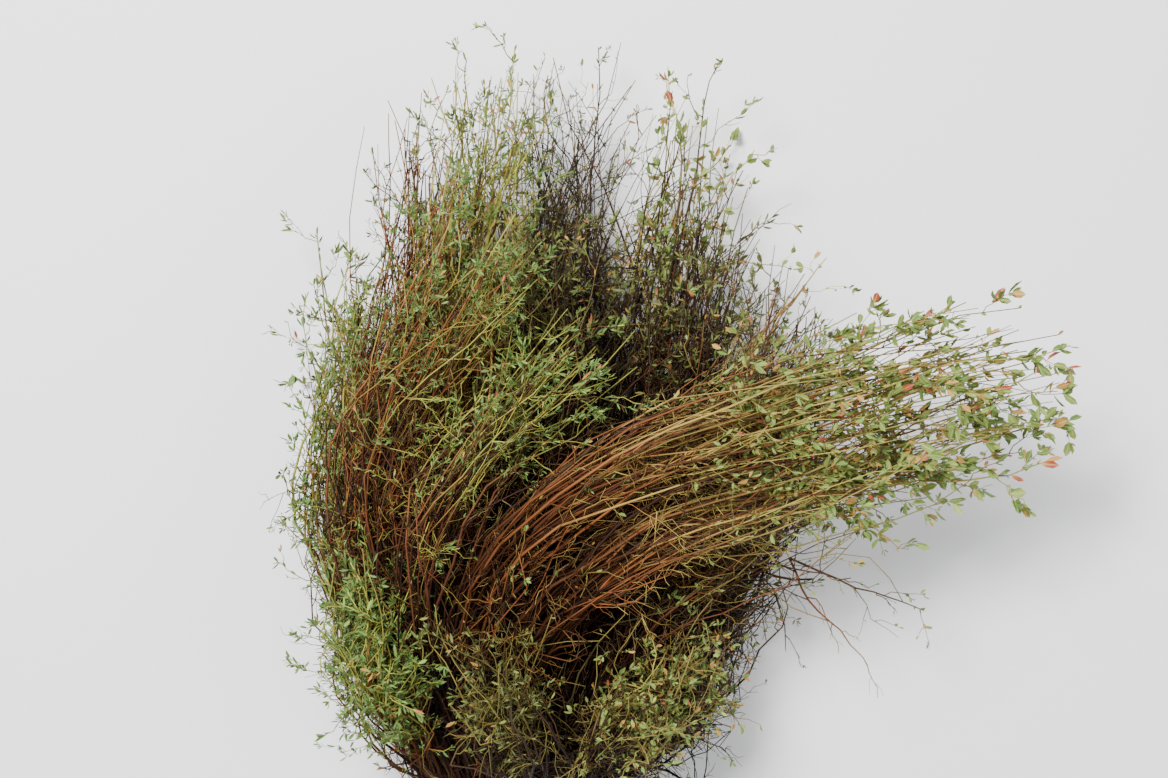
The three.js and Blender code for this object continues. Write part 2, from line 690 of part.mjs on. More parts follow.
const bunch = new THREE.Group();
for (const spray of SPRAYS) {
  bunch.add(woodMesh(spray));
  const green = spray.grown.filter((stem) => stem.greenFrom < STEM_RINGS);
  green.forEach((stem) => bunch.add(shootMesh(spray, stem)));
}

// The origin goes under the middle of the bunch's box
const box = new THREE.Box3().setFromObject(bunch);
const middle = box.getCenter(new THREE.Vector3());
bunch.position.set(-middle.x, -middle.y, -box.min.z);

const part = new THREE.Group();
part.name = 'bunch_of_euphorbia_stems';
part.add(bunch);
part.updateMatrixWorld(true);

export default part;
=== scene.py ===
# %% [markdown]
# # A tangled bunch of euphorbia stems
# The solids give the bunch its sprays: where each one starts in the stack of cut ends, how it
# runs and where its tips are. Here every spray gets its real number of thin stems, twigs and
# leaves. They follow the same routes, so the bunch keeps its form and gets its fine surface.

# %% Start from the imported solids
import math

import bpy
import numpy as np
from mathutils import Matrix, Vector


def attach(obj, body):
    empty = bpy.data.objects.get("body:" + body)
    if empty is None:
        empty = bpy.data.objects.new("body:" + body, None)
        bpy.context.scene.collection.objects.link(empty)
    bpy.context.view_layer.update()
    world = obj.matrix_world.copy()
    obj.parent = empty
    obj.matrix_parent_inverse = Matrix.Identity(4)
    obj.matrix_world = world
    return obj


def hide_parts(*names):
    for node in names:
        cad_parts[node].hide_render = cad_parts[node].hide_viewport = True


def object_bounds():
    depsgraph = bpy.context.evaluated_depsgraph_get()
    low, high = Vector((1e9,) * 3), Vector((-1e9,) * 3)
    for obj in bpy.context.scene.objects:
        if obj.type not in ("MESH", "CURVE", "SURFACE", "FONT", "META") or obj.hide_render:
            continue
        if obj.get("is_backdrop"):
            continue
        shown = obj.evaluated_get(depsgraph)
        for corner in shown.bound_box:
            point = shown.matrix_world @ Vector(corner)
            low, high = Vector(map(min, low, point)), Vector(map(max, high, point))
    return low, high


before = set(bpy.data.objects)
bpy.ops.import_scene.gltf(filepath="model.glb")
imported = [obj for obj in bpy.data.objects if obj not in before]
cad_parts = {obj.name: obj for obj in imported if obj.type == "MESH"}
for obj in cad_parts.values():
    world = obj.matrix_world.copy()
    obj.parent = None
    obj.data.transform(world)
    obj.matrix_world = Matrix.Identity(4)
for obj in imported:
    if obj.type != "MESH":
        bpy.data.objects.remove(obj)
cad_low, cad_high = (list(corner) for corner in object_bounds())
print("The solids reach from", np.round(cad_low, 3), "to", np.round(cad_high, 3))

# %% [markdown]
# ## Camera, floor and light
# The bunch lies on its back, so the camera hangs above it and looks straight down, with the
# far tips at the top of the picture. The floor is plain and pale. A wide lamp near the camera, a
# weak one across from it and a bright surround give soft, even light.

# %% Camera, floor and light
MM = 0.001
PHOTO_TO_FRAME = np.array([-65.79, 63.79, -0.64])  # mm from the picture's middle to the frame
CAMERA_HEIGHT = 1.9
LENS = 68.0


def in_metres(points):
    return (np.asarray(points, float) + PHOTO_TO_FRAME) * MM


def add_object(name, data):
    made = bpy.data.objects.new(name, data)
    bpy.context.collection.objects.link(made)
    return made


camera_data = bpy.data.cameras.new("camera")
camera_data.lens = LENS
camera = add_object("camera", camera_data)
camera.location = (*in_metres([0, 0, 0])[:2], CAMERA_HEIGHT)
bpy.context.scene.camera = camera


def new_material(name, roughness):
    material = bpy.data.materials.new(name)
    material.use_nodes = True
    shader = material.node_tree.nodes["Principled BSDF"]
    shader.inputs["Roughness"].default_value = roughness
    return material, shader


bpy.ops.mesh.primitive_plane_add(size=8)
floor = bpy.context.object
floor.name = "floor"
pale, shader = new_material("pale floor", 0.7)
shader.inputs["Base Color"].default_value = (0.95, 0.955, 0.975, 1)
floor.data.materials.append(pale)
floor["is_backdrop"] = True


def area_lamp(name, place, target, size, watts, colour):
    lamp = bpy.data.lights.new(name, "AREA")
    lamp.size = size
    lamp.energy = watts
    lamp.color = colour
    holder = add_object(name, lamp)
    holder.location = place
    holder.rotation_euler = (Vector(target) - Vector(place)).to_track_quat("-Z", "Y").to_euler()


BUNCH_MIDDLE = (0, 0, 0.1)
SURROUND_COLOUR, SURROUND_STRENGTH = (0.93, 0.96, 1.0, 1), 0.52
area_lamp("key", (-0.8, 0.9, 2.3), BUNCH_MIDDLE, 0.7, 148, (1.0, 0.99, 0.97))
area_lamp("fill", (1.6, -0.6, 1.9), BUNCH_MIDDLE, 1.6, 24, (1.0, 0.97, 0.93))
world = bpy.data.worlds.new("surround")
world.use_nodes = True
surround = world.node_tree.nodes["Background"]
surround.inputs["Color"].default_value = SURROUND_COLOUR
surround.inputs["Strength"].default_value = SURROUND_STRENGTH
bpy.context.scene.world = world
print("Camera", CAMERA_HEIGHT, "m above the floor")

# %% [markdown]
# ## The sprays
# Each row repeats a spray of the solids and says how it looks: its slot in the stack of cut ends,
# its bark and its leaves, how far it spreads and how long its twigs are. Then come the number of
# branches, how leafy and how crooked it is, where its bark turns to shoot, how large the leaves
# are, how many thin twigs tangle it, where its leaves begin and how much shade is painted on its
# bark. The route of its middle and the line on which its stems end come last. Strays stand out
# with single tips.

# %% The sprays
COLUMNS = ("name", "slot", "bark", "leaf", "spread", "reach", "branches", "leafy", "crook",
           "turn", "leaf_mm", "tangle", "green_from", "painted_dim", "route", "tips")
ROWS = [
    ("left_back", (0, 0), "dark", "olive", 26, 60, 36, 0.4, 1.6, 0.95, 6, 160, 0.6, 0.15,
     [(-146, -262, 22), (-186, -160, 26), (-194, -60, 32), (-184, 14, 44)],
     [(-206, 56, 30), (-164, 84, 70)]),
    ("middle_back", (1, 0), "chestnut", "olive", 32, 75, 58, 0.4, 1.5, 1.0, 6, 200, 0.62, 0.2,
     [(-118, -250, 24), (-120, -120, 28), (-118, 0, 34), (-114, 90, 42)],
     [(-162, 150, 40), (-90, 200, 60)]),
    ("top_dark", (2, 0), "dark", "olive", 48, 85, 144, 0.3, 3.2, 1.1, 5, 460, 0.6, 0.05,
     [(-72, -230, 24), (-30, -60, 30), (-6, 90, 42), (-4, 150, 54)],
     [(-46, 218, 40), (30, 236, 90)]),
    ("arch_back", (3, 0), "dark", "lime", 34, 75, 58, 0.5, 2.4, 0.9, 8, 300, 0.6, -0.3,
     [(-10, -236, 24), (44, -80, 30), (54, 60, 48), (62, 130, 66)],
     [(56, 236, 60), (124, 168, 110)]),
    ("inner_right", (4, 0), "chestnut", "olive", 42, 72, 116, 0.5, 2.0, 1.05, 7, 460, 0.62, 0.2,
     [(14, -236, 50), (58, -110, 70), (92, 14, 84), (106, 58, 96)],
     [(66, 146, 80), (148, 110, 130)]),
    ("right_back", (5, 0), "chestnut", "olive", 40, 65, 100, 0.36, 2.0, 1.05, 7, 400, 0.62, 0.15,
     [(60, -250, 26), (116, -150, 30), (150, -30, 36), (160, 30, 44)],
     [(154, 94, 40), (188, 34, 90)]),
    ("low_right_back", (6, 0), "dark", "olive", 28, 56, 40, 0.15, 2.4, 1.1, 5, 210, 0.5, 0.0,
     [(70, -290, 30), (98, -232, 50), (120, -160, 64), (126, -110, 70)],
     [(92, -256, 50), (144, -100, 100)]),
    ("left_wall", (0, 1), "chestnut", "fresh", 24, 58, 50, 1.1, 1.4, 0.74, 8, 200, 0.42, 0.0,
     [(-160, -256, 66), (-194, -170, 84), (-204, -70, 90), (-196, -6, 98)],
     [(-212, 50, 84), (-176, 76, 120)]),
    ("left_inner", (1, 1), "orange", "olive", 30, 70, 78, 0.4, 1.5, 1.1, 6, 280, 0.76, 0.15,
     [(-134, -240, 68), (-154, -110, 84), (-150, 10, 92), (-144, 72, 98)],
     [(-158, 196, 80), (-116, 204, 130)]),
    ("top_centre", (2, 1), "orange", "lime", 30, 75, 98, 2.0, 1.7, 0.78, 6, 170, 0.6, -0.15,
     [(-94, -220, 70), (-102, -60, 88), (-88, 80, 100), (-72, 140, 108)],
     [(-108, 244, 90), (-30, 230, 140)]),
    ("centre", (3, 1), "chestnut", "olive", 36, 75, 50, 1.2, 1.8, 0.86, 6, 250, 0.58, 0.0,
     [(-46, -210, 84), (-32, -80, 106), (-8, 24, 114)],
     [(-50, 112, 120), (36, 108, 150)]),
    ("right_mid", (4, 1), "orange", "lime", 30, 68, 50, 0.3, 1.8, 0.95, 6, 240, 0.72, 0.0,
     [(-16, -220, 84), (22, -116, 118), (96, -28, 140)],
     [(120, 66, 140), (180, 34, 180)]),
    ("right_low", (5, 1), "orange", "lime", 28, 66, 46, 0.5, 1.5, 0.9, 7, 180, 0.72, 0.1,
     [(0, -260, 84), (40, -180, 118), (118, -124, 140)],
     [(204, -54, 130), (226, -104, 180)]),
    ("low_right", (6, 1), "dark", "lime", 26, 50, 38, 0.3, 2.1, 1.05, 6, 170, 0.55, 0.1,
     [(48, -300, 76), (78, -262, 100), (104, -214, 116)],
     [(92, -276, 90), (132, -176, 150)]),
    ("low_left", (0, 2), "orange", "fresh", 26, 50, 46, 1.7, 1.3, 0.6, 7, 150, 0.24, -0.2,
     [(-132, -312, 90), (-158, -268, 126), (-180, -206, 148), (-174, -160, 158)],
     [(-212, -128, 130), (-126, -120, 184)]),
    ("green_cushion", (1, 2), "orange", "fresh", 32, 72, 80, 4.4, 1.6, 1.0, 6, 220, 0.72, -0.05,
     [(-150, -230, 106), (-168, -100, 140), (-148, 10, 170), (-126, 60, 186)],
     [(-132, 164, 170), (-26, 92, 220)]),
    ("centre_diagonal", (2, 2), "chestnut", "fresh", 40, 65, 72, 2.2, 1.6, 0.88, 6, 230, 0.66, -0.1,
     [(-122, -216, 116), (-128, -110, 168), (-84, -28, 200), (-36, 6, 210)],
     [(-36, 66, 200), (44, 14, 235)]),
    ("right_upper", (3, 2), "orange", "lime", 28, 66, 96, 1.1, 1.2, 0.78, 10, 100, 0.62, -0.02,
     [(-92, -250, 104), (-92, -160, 156), (-20, -84, 196), (74, -38, 206), (190, -6, 196)],
     [(276, 56, 150), (356, 22, 200)]),
    ("right_lower", (4, 2), "orange", "lime", 26, 64, 96, 1.1, 1.2, 0.78, 10, 100, 0.62, 0.02,
     [(-54, -262, 100), (-48, -190, 146), (24, -130, 184), (112, -84, 194), (196, -56, 184)],
     [(344, 2, 190), (280, -76, 160)]),
    ("low_centre", (5, 2), "dark", "olive", 34, 50, 42, 0.4, 2.0, 0.75, 6, 190, 0.5, 0.1,
     [(-30, -314, 104), (-48, -276, 152), (-66, -236, 180), (-72, -206, 190)],
     [(-122, -186, 184), (-24, -180, 202)]),
    ("low_front", (6, 2), "dark", "lime", 30, 56, 48, 0.32, 1.8, 0.74, 6, 200, 0.5, 0.15,
     [(0, -312, 92), (18, -284, 130), (44, -252, 156), (66, -226, 164)],
     [(88, -172, 170), (82, -276, 130)]),
]
STRAYS = {
    "left_back": [(-240, -62, 24), (-238, -118, 30)],
    "top_dark": [(12, 284, 70), (-30, 262, 60)],
    "arch_back": [(69, 266, 80), (112, 270, 90), (140, 196, 90)],
    "left_wall": [(-219, 126, 90), (-188, 112, 104)],
    "top_centre": [(-96, 268, 100), (-56, 278, 110)],
    "right_mid": [(196, 106, 120)],
    "right_low": [(232, -226, 96), (276, -180, 110), (212, -150, 150)],
    "right_upper": [(380, 34, 180)],
    "right_lower": [(376, -18, 170), (362, -56, 180)],
}
UNUSUAL = {
    "arch_back": dict(tangle_to=0.7),
    "top_centre": dict(leaf_look="fresh"),
}
SPRAYS = [dict(zip(COLUMNS, row)) for row in ROWS]
for spray in SPRAYS:
    name = spray["name"]
    usual = dict(strays=STRAYS.get(name, []), leaf_look=spray["leaf"], tangle_to=1)
    spray.update({**usual, **UNUSUAL.get(name, {})})
print(len(SPRAYS), "sprays with", sum(spray["branches"] for spray in SPRAYS), "branches")

# %% [markdown]
# ## Curves
# A twig is a smooth line that wanders a little and has small kinks where leaves once stood.
# These helpers draw a line through points, give it that unrest, and find places on it and
# directions across it.

# %% Curves
SEED = 20
rng = np.random.default_rng(SEED)
GOLDEN_ANGLE = 2.39996
CURVE_STEPS = 10  # between two given points
SWAYS = ((0.5, 1.4, 1.0), (1.8, 3.6, 0.3))  # fewest and most waves along a line, and their share


def curve_through(points, count):
    """Evenly spaced points on a smooth curve through the given ones."""
    points = np.asarray(points, float)
    guided = np.vstack([2 * points[0] - points[1], points, 2 * points[-1] - points[-2]])
    t = np.linspace(0, 1, CURVE_STEPS, endpoint=False)[:, None]
    pieces = [
        0.5 * (2 * b + (c - a) * t + (2 * a - 5 * b + 4 * c - d) * t**2
               + (3 * b - a - 3 * c + d) * t**3)
        for a, b, c, d in zip(guided, guided[1:], guided[2:], guided[3:])
    ]
    return evenly(np.vstack([*pieces, points[-1:]]), count)


def evenly(line, count):
    """The same line with that many points, evenly spaced."""
    steps = np.linalg.norm(np.diff(line, axis=0), axis=1)
    along = np.concatenate([[0], np.cumsum(steps)])
    places = np.linspace(0, along[-1], count)
    return np.stack([np.interp(places, along, line[:, axis]) for axis in range(3)], axis=1)


def at(values, place):
    """The value at a place between two points of a line, or of a list of numbers."""
    low = min(int(place), len(values) - 2)
    return values[low] + (values[low + 1] - values[low]) * (place - low)


def eased(share):
    """The same share, 0 to 1, with a soft start and a soft end."""
    return share**2 * (3 - 2 * share)


def unit(vectors):
    return vectors / np.maximum(np.linalg.norm(vectors, axis=-1, keepdims=True), 1e-12)


def across_and_up(along):
    """Two ways across a twig, found from a third way that hardly any twig runs."""
    across = unit(np.cross(along, (0.31, 0.17, 0.93)))
    return across, np.cross(along, across)


def directions(line):
    """At each point of a line: along it, and two ways across it."""
    along = unit(np.gradient(line, axis=0))
    mean = np.abs(unit(line[-1] - line[0]))
    reference = np.eye(3)[np.argmin(mean)]
    across = unit(reference - along * (along @ reference)[:, None])
    return along, across, np.cross(along, across)


def unrest(line, sway, kink):
    """Adds slow and quicker sways that grow along the line, and a small kink at each point."""
    share = np.linspace(0, 1, len(line))[:, None]
    moved = np.zeros_like(line)
    for fewest, most, part in SWAYS:
        waves = rng.uniform(fewest, most, 3)
        turns = rng.uniform(0, 2 * math.pi, 3)
        moved += (np.sin(2 * math.pi * waves * share + turns) - np.sin(turns)) * part
    kinks = rng.normal(0, 1, line.shape) * np.sin(math.pi * share)
    return line + moved * share * sway + kinks * kink


print("A test curve has", len(curve_through([(0, 0, 0), (1, 0, 0), (1, 1, 0)], 8)), "points")

# %% [markdown]
# ## The stack of cut ends
# The cut stems lie in handfuls, and each spray has its own slot in the stack of them. A slot is
# a column and a row, and the rows are set off by half a handful, so that they nest.

# %% The stack of cut ends
HANDFUL_RADIUS = 10.5
HANDFUL_PITCH = 2 * HANDFUL_RADIUS + 0.4
STACK_MIDDLE_X, STACK_COLUMNS = -52, 7
CUT_Y, STACK_END_Y = -416, -348


def slot_place(slot, y):
    column, row = slot
    shift = ((column - (STACK_COLUMNS - 1) / 2) * HANDFUL_PITCH
             + ((row % 2) - 0.5) * HANDFUL_PITCH / 2)
    height = HANDFUL_RADIUS + row * HANDFUL_PITCH * math.sqrt(3) / 2
    return np.array([STACK_MIDDLE_X + shift, y, height])


print("The first handful lies at", slot_place((0, 0), CUT_Y))

# %% [markdown]
# ## Inside and outside
# The middle of a thick bunch is dim and its outside is bright, and the materials paint that shade.
# An egg-shaped core tells how far out a point lies, and the bands of the map tell the materials
# how much shade to paint there. Lines that come near the sides of the solids' box are bent back
# softly, so the bunch keeps its size.

# %% Inside and outside
CORE = np.array([-10, -95, 78])  # the middle of the dim inside, and how far it reaches
CORE_REACH = np.array([185, 200, 138])
DIM_TO, DIM_FADE = 0.5, 0.6  # of that reach: where it is dimmest, and over which it fades
BANDS = 8
BAND_SCATTER = 0.8  # bands up or down by chance
LANES = 6  # in a band, from the darkest bark to the lightest
ROOM = 14  # mm before a side of the box of the solids, within which a line bends back
BOX_LOW = np.array(cad_low) / MM - PHOTO_TO_FRAME + [0, 0, 3]
BOX_HIGH = np.array(cad_high) / MM - PHOTO_TO_FRAME


def keep_in_box(line):
    over = np.maximum(line - (BOX_HIGH - ROOM), 0)
    under = np.maximum(BOX_LOW + ROOM - line, 0)
    back = over - ROOM * np.tanh(over / ROOM)
    forth = under - ROOM * np.tanh(under / ROOM)
    return line - back + forth


def openness(points):
    """How far out of the bunch's dim inside each point lies, from 0 to 1."""
    out = np.linalg.norm((points - CORE) / CORE_REACH, axis=-1)
    return eased(np.clip((out - DIM_TO) / DIM_FADE, 0, 1))


def painted_shade_band(points):
    """The band of painted shade on the map for a twig or a leaf that far out, with some chance in
    it.
    """
    band = np.round(openness(points) * (BANDS - 1)
                    + rng.normal(0, BAND_SCATTER, points.shape[:-1]))
    return np.clip(band, 0, BANDS - 1).astype(int)


def tube(line, radii, ages, sides, lane):
    """A stem or twig: its line, the radius and age at each point, its place on the map."""
    return dict(line=keep_in_box(line), radii=radii, ages=ages, sides=sides, lane=lane,
                band=painted_shade_band(line[2 * len(line) // 3]))


print("The box in the photo's frame ends at", np.round(BOX_HIGH), "mm")

# %% [markdown]
# ## The woody stems
# Seven stems stand packed in a handful, one in the middle and six round it. Each winds round the
# middle line of its spray at a distance and ends on the spray's line of tips. It is stout as far
# as the end of the stack and thins from there. The first bend is cut, so that it isn't a kink.

# %% The woody stems
COURSE_POINTS, SMOOTH_POINTS = 15, 40
FULL_SPREAD_AT = 0.8  # of the way, from which a stem keeps its distance from the middle line
MAIN_STEMS, MAIN_POINTS = 7, 18
MAIN_RADIUS, MAIN_TIP_RADIUS, MAIN_TAPER = 3.2, 0.45, 2.4
STEM_GAP, FIRST_ANGLE, MAIN_WIND = 0.1, 0.2, 0.4
INNER_PART, RING_PART = 0.15, 0.75  # of the spread, for the middle stem and for the others
MAIN_SWAY, MAIN_KINK = 9, 0.9
STOUTNESS = (0.8, 1)
BEND_SHARE = 0.28  # of the way to its neighbours, at which the bend behind the stack is cut


def course(spray, angle, wind, part, start_offset, tip):
    """From the end of the handful to a tip, winding round the spray's middle at a distance."""
    spine, across, up = spray["spine"]
    share = np.linspace(0, 1, len(spine))[:, None]
    part_share = eased(np.clip(share / FULL_SPREAD_AT, 0, 1))
    angles = angle + wind * share
    own = (across * np.cos(angles) + up * np.sin(angles)) * part
    line = spine + own * part_share + start_offset * (1 - part_share)
    return evenly(curve_through(np.vstack([line[:-2], tip]), SMOOTH_POINTS), COURSE_POINTS)


def grow_mains(spray, tips):
    mains = []
    ends = [slot_place(spray["slot"], y) for y in (CUT_Y + rng.uniform(-3, 6), STACK_END_Y)]
    for number in range(MAIN_STEMS):
        angle = number * math.pi / 3 + FIRST_ANGLE
        ring = 0 if number == 0 else 2 * MAIN_RADIUS + STEM_GAP
        offset = np.array([math.cos(angle) * ring, 0, math.sin(angle) * ring])
        part = spray["spread"] * (INNER_PART if number == 0 else RING_PART)
        tip = tips(rng.uniform(0.05, 0.95))
        line = course(spray, angle, MAIN_WIND, part, offset, tip)
        line = unrest(line, MAIN_SWAY, MAIN_KINK * spray["crook"])
        line[0] = ends[1] + offset
        cut = ends[0] + offset + [0, rng.uniform(-3, 5), 0]
        bare = np.vstack([cut, evenly(line, MAIN_POINTS - 2)])
        bend = bare[1] * (1 - BEND_SHARE) + bare[[0, 2]] * BEND_SHARE
        whole = np.vstack([cut, bend, bare[2:]])
        share = np.linspace(0, 1, MAIN_POINTS)
        thinning = (MAIN_RADIUS - MAIN_TIP_RADIUS) * (1 - share)**MAIN_TAPER
        radii = thinning * rng.uniform(*STOUTNESS) + MAIN_TIP_RADIUS
        radii[:3] = MAIN_RADIUS * rng.uniform(*STOUTNESS)
        mains.append(tube(whole, radii, share, 6, rng.integers(1, LANES - 1)))
    return mains


print("A handful has", MAIN_STEMS, "stems of", 2 * MAIN_RADIUS, "mm")

# %% [markdown]
# ## Branches
# A branch leaves a woody stem at a slant. Most take their own way to the spray's line of tips,
# and the others end at its side. Most are thin, and some are stout. A few single ones, the
# strays, stand out of the bunch with their tip at a given place.

# %% Branches
SIDE_SHARE = 0.4  # of the branches end at the side of their spray
SIDE_YOUTH = 0.32  # how much younger such a branch is at its tip
SIDE_AHEAD, SIDE_OUT = (0.15, 0.4), (0.8, 1.35)  # shares of the spine and of the spread
SIDE_POINTS, STRAY_POINTS, STRAY_LENGTH = 9, 10, 110
LEAST_REACH = 0.72  # of the way to the tips, for the shortest of the long branches
LONG_WIND, BLEND_POINTS = 1.1, 4  # a branch comes into its own way over those points
BRANCH_SWAY, CROOKED_SWAY, BRANCH_KINK = 12, 6, 1.1
BRANCH_RADII, TIP_RADII = (0.5, 1.0), (0.28, 0.42)
FORK_SHARE = 0.6  # of the stem's radius, for the thickest branch there


def beside_spine(spray, spot, part):
    """A place at the side of the spray, level with a spot on its middle line."""
    spine, across, up = spray["spine"]
    low = min(int(spot), len(spine) - 2)
    angle = rng.uniform(0, 2 * math.pi)
    return at(spine, spot) + (across[low] * math.cos(angle) + up[low] * math.sin(angle)) * part


def long_course(spray, main, fork, tips):
    """The way of a branch to the spray's tips."""
    start = main["line"][fork]
    angle = rng.uniform(0, 2 * math.pi)
    part = spray["spread"] * math.sqrt(rng.uniform(0.02, 1.2))
    wind = rng.normal(0, LONG_WIND)
    line = course(spray, angle, wind, part, np.zeros(3), tips(rng.uniform(0, 1)))
    begin = int(round((fork - 1) / (MAIN_POINTS - 2) * (COURSE_POINTS - 1)))
    kept = line[begin:]
    blend = np.clip(np.arange(len(kept)) / BLEND_POINTS, 0, 1)[:, None]
    kept = kept + (start - kept[0]) * (1 - eased(blend))
    reach = rng.choice([1, rng.uniform(LEAST_REACH, 1)])
    kept = evenly(kept, SMOOTH_POINTS)[:max(12, int(SMOOTH_POINTS * reach))]
    return evenly(kept, max(7, int(COURSE_POINTS * len(kept) / SMOOTH_POINTS)))


def side_course(spray, main, fork):
    """The way of a branch to the side of its spray."""
    start = main["line"][fork]
    along = unit(main["line"][fork + 1] - start)
    last = len(spray["spine"][0]) - 1
    spot = min((fork / MAIN_POINTS + rng.uniform(*SIDE_AHEAD)) * last, last)
    tip = beside_spine(spray, spot, spray["spread"] * rng.uniform(*SIDE_OUT))
    reach = np.linalg.norm(tip - start)
    leave = start + along * reach * 0.3
    bend = start * 0.3 + tip * 0.7 + rng.normal(0, 0.06 * reach, 3)
    return curve_through([start, leave, bend, tip], SIDE_POINTS)


def grow_branch(spray, mains, tips):
    main = mains[rng.integers(len(mains))]
    is_side = rng.random() < SIDE_SHARE
    if is_side:
        fork = int(rng.integers(2, MAIN_POINTS * 3 // 4))
        line = side_course(spray, main, fork)
    else:
        fork = int(rng.integers(1, MAIN_POINTS // 2))
        line = long_course(spray, main, fork, tips)
    crook = spray["crook"]
    line = unrest(line, BRANCH_SWAY + CROOKED_SWAY * crook * rng.random(), BRANCH_KINK * crook)
    line[0] = main["line"][fork]
    age = main["ages"][fork]
    last_age = min(age + SIDE_YOUTH, 1) if is_side else 1
    share = np.linspace(0, 1, len(line))
    root = min(main["radii"][fork] * FORK_SHARE,
               rng.uniform(*BRANCH_RADII) * rng.choice([1, 1, 1.7]))
    radii = root * (1 - share)**0.8 + rng.uniform(*TIP_RADII)
    return tube(line, radii, age + (last_age - age) * share, 3 if root < 0.9 else 4,
                rng.integers(LANES))


def grow_stray(mains, tip):
    tip = np.asarray(tip, float)
    spots = np.vstack([main["line"][4:-3] for main in mains])
    start = spots[np.argmin(np.abs(np.linalg.norm(spots - tip, axis=1) - STRAY_LENGTH))]
    middle = (start * 0.55 + tip * 0.45) + rng.normal(0, 7, 3)
    line = unrest(curve_through([start, middle, tip], STRAY_POINTS), 3, 0.9)
    line[-1] = tip
    share = np.linspace(0, 1, STRAY_POINTS)
    return tube(line, 1.0 - 0.6 * share, 0.55 + 0.45 * share, 4, rng.integers(LANES))


print(f"{SIDE_SHARE:.0%} of the branches end at the side of their spray")

# %% [markdown]
# ## Wanderers
# Thin twigs without order cross each spray from side to side and make the tangle. Those that
# cross the dim inside are a little stouter, so they still show.

# %% Wanderers
WANDER_POINTS = 8
WANDER_ALONG = (-1.8, 2.2)  # points of the spine, from the twig's root to its tip
WANDER_OUT = (0.4, 1.3)  # shares of the spread
WANDER_BOW, WANDER_SWAY, WANDER_KINK = 0.13, 0.08, 0.7
WANDER_RADII, WANDER_YOUTH = (0.45, 0.8), 0.2
STOUT_INSIDE, STOUT_FADE = 1.5, 0.6
THIN_TAPER = 0.5  # how much thinner a wanderer or a twig is at its tip


def grow_wanderer(spray, carriers):
    parent = carriers[rng.integers(len(carriers))]
    place = int(rng.integers(1, (len(parent["line"]) - 2) * spray["tangle_to"]))
    start = parent["line"][place]
    spine = spray["spine"][0]
    nearest = np.argmin(np.linalg.norm(spine - start, axis=1))
    last = (len(spine) - 1.2) * spray["tangle_to"]
    spot = np.clip(nearest + rng.uniform(*WANDER_ALONG), 0.3, last * rng.uniform(0.8, 1))
    tip = beside_spine(spray, spot, spray["spread"] * rng.uniform(*WANDER_OUT))
    reach = np.linalg.norm(tip - start)
    middle = (start + tip) / 2 + rng.normal(0, WANDER_BOW * reach, 3)
    line = unrest(curve_through([start, middle, tip], WANDER_POINTS), reach * WANDER_SWAY,
                  WANDER_KINK * spray["crook"])
    line[0] = start
    share = np.linspace(0, 1, WANDER_POINTS)
    ages = np.minimum(parent["ages"][place] + WANDER_YOUTH * share, 1)
    stout = STOUT_INSIDE - STOUT_FADE * openness(middle)
    radii = rng.uniform(*WANDER_RADII) * stout * (1 - THIN_TAPER * share)
    return tube(line, radii, ages, 3, rng.integers(LANES - 1))


print("A wanderer has", WANDER_POINTS, "rings")

# %% [markdown]
# ## Twigs
# Twigs leave a branch one after the other, each a golden angle further round. They slant out,
# bend back along the branch and hang a little. The finest twigs leave the twigs in the same way,
# and only where the bunch is open enough for them to be seen.

# %% Twigs
TWIG_POINTS, FINE_POINTS = 6, 4
TWIGS_A_BRANCH, MOST_FINE = 4, 2  # finest twigs on a twig
TWIG_OUT, TWIG_AHEAD = (0.25, 0.7), (0.5, 1.0)  # shares of its reach
TWIG_SWAY, TWIG_KINK = 0.07, 0.012
TWIG_YOUTH = 0.28  # how much younger a twig's tip is than its root
DROOP = 0.14  # how far a twig hangs, as a share of its reach
TWIG_REACH, FINE_REACH = (0.4, 1.05), (0.25, 0.5)
TWIG_RADII, FINE_RADII = (0.4, 0.62), (0.28, 0.4)
OPEN_ENOUGH = 0.35


def grow_twig(parent, spot, turn, reach, points, radius, crook):
    line = parent["line"]
    place = spot * (len(line) - 1)
    low = min(int(place), len(line) - 2)
    start = at(line, place)
    along = unit(line[low + 1] - line[low])
    across, up = across_and_up(along)
    out = across * math.cos(turn) + up * math.sin(turn)
    out_share = rng.uniform(*TWIG_OUT) * (0.7 + 0.22 * crook)
    tip = start + out * reach * out_share + along * reach * rng.uniform(*TWIG_AHEAD)
    tip[1] -= reach * DROOP * rng.uniform(0, 2)
    bend = start + (along * 0.3 + out * 0.4) * reach * 0.5
    curve = curve_through([start, bend, tip], points)
    curve = unrest(curve, reach * TWIG_SWAY, reach * TWIG_KINK * crook)
    curve[0] = start
    share = np.linspace(0, 1, points)
    ages = np.minimum(at(parent["ages"], place) + TWIG_YOUTH * share, 1)
    lane = np.clip(parent["lane"] + rng.integers(-1, 2), 0, LANES - 1)
    return tube(curve, radius * (1 - THIN_TAPER * share), ages, 3, lane)


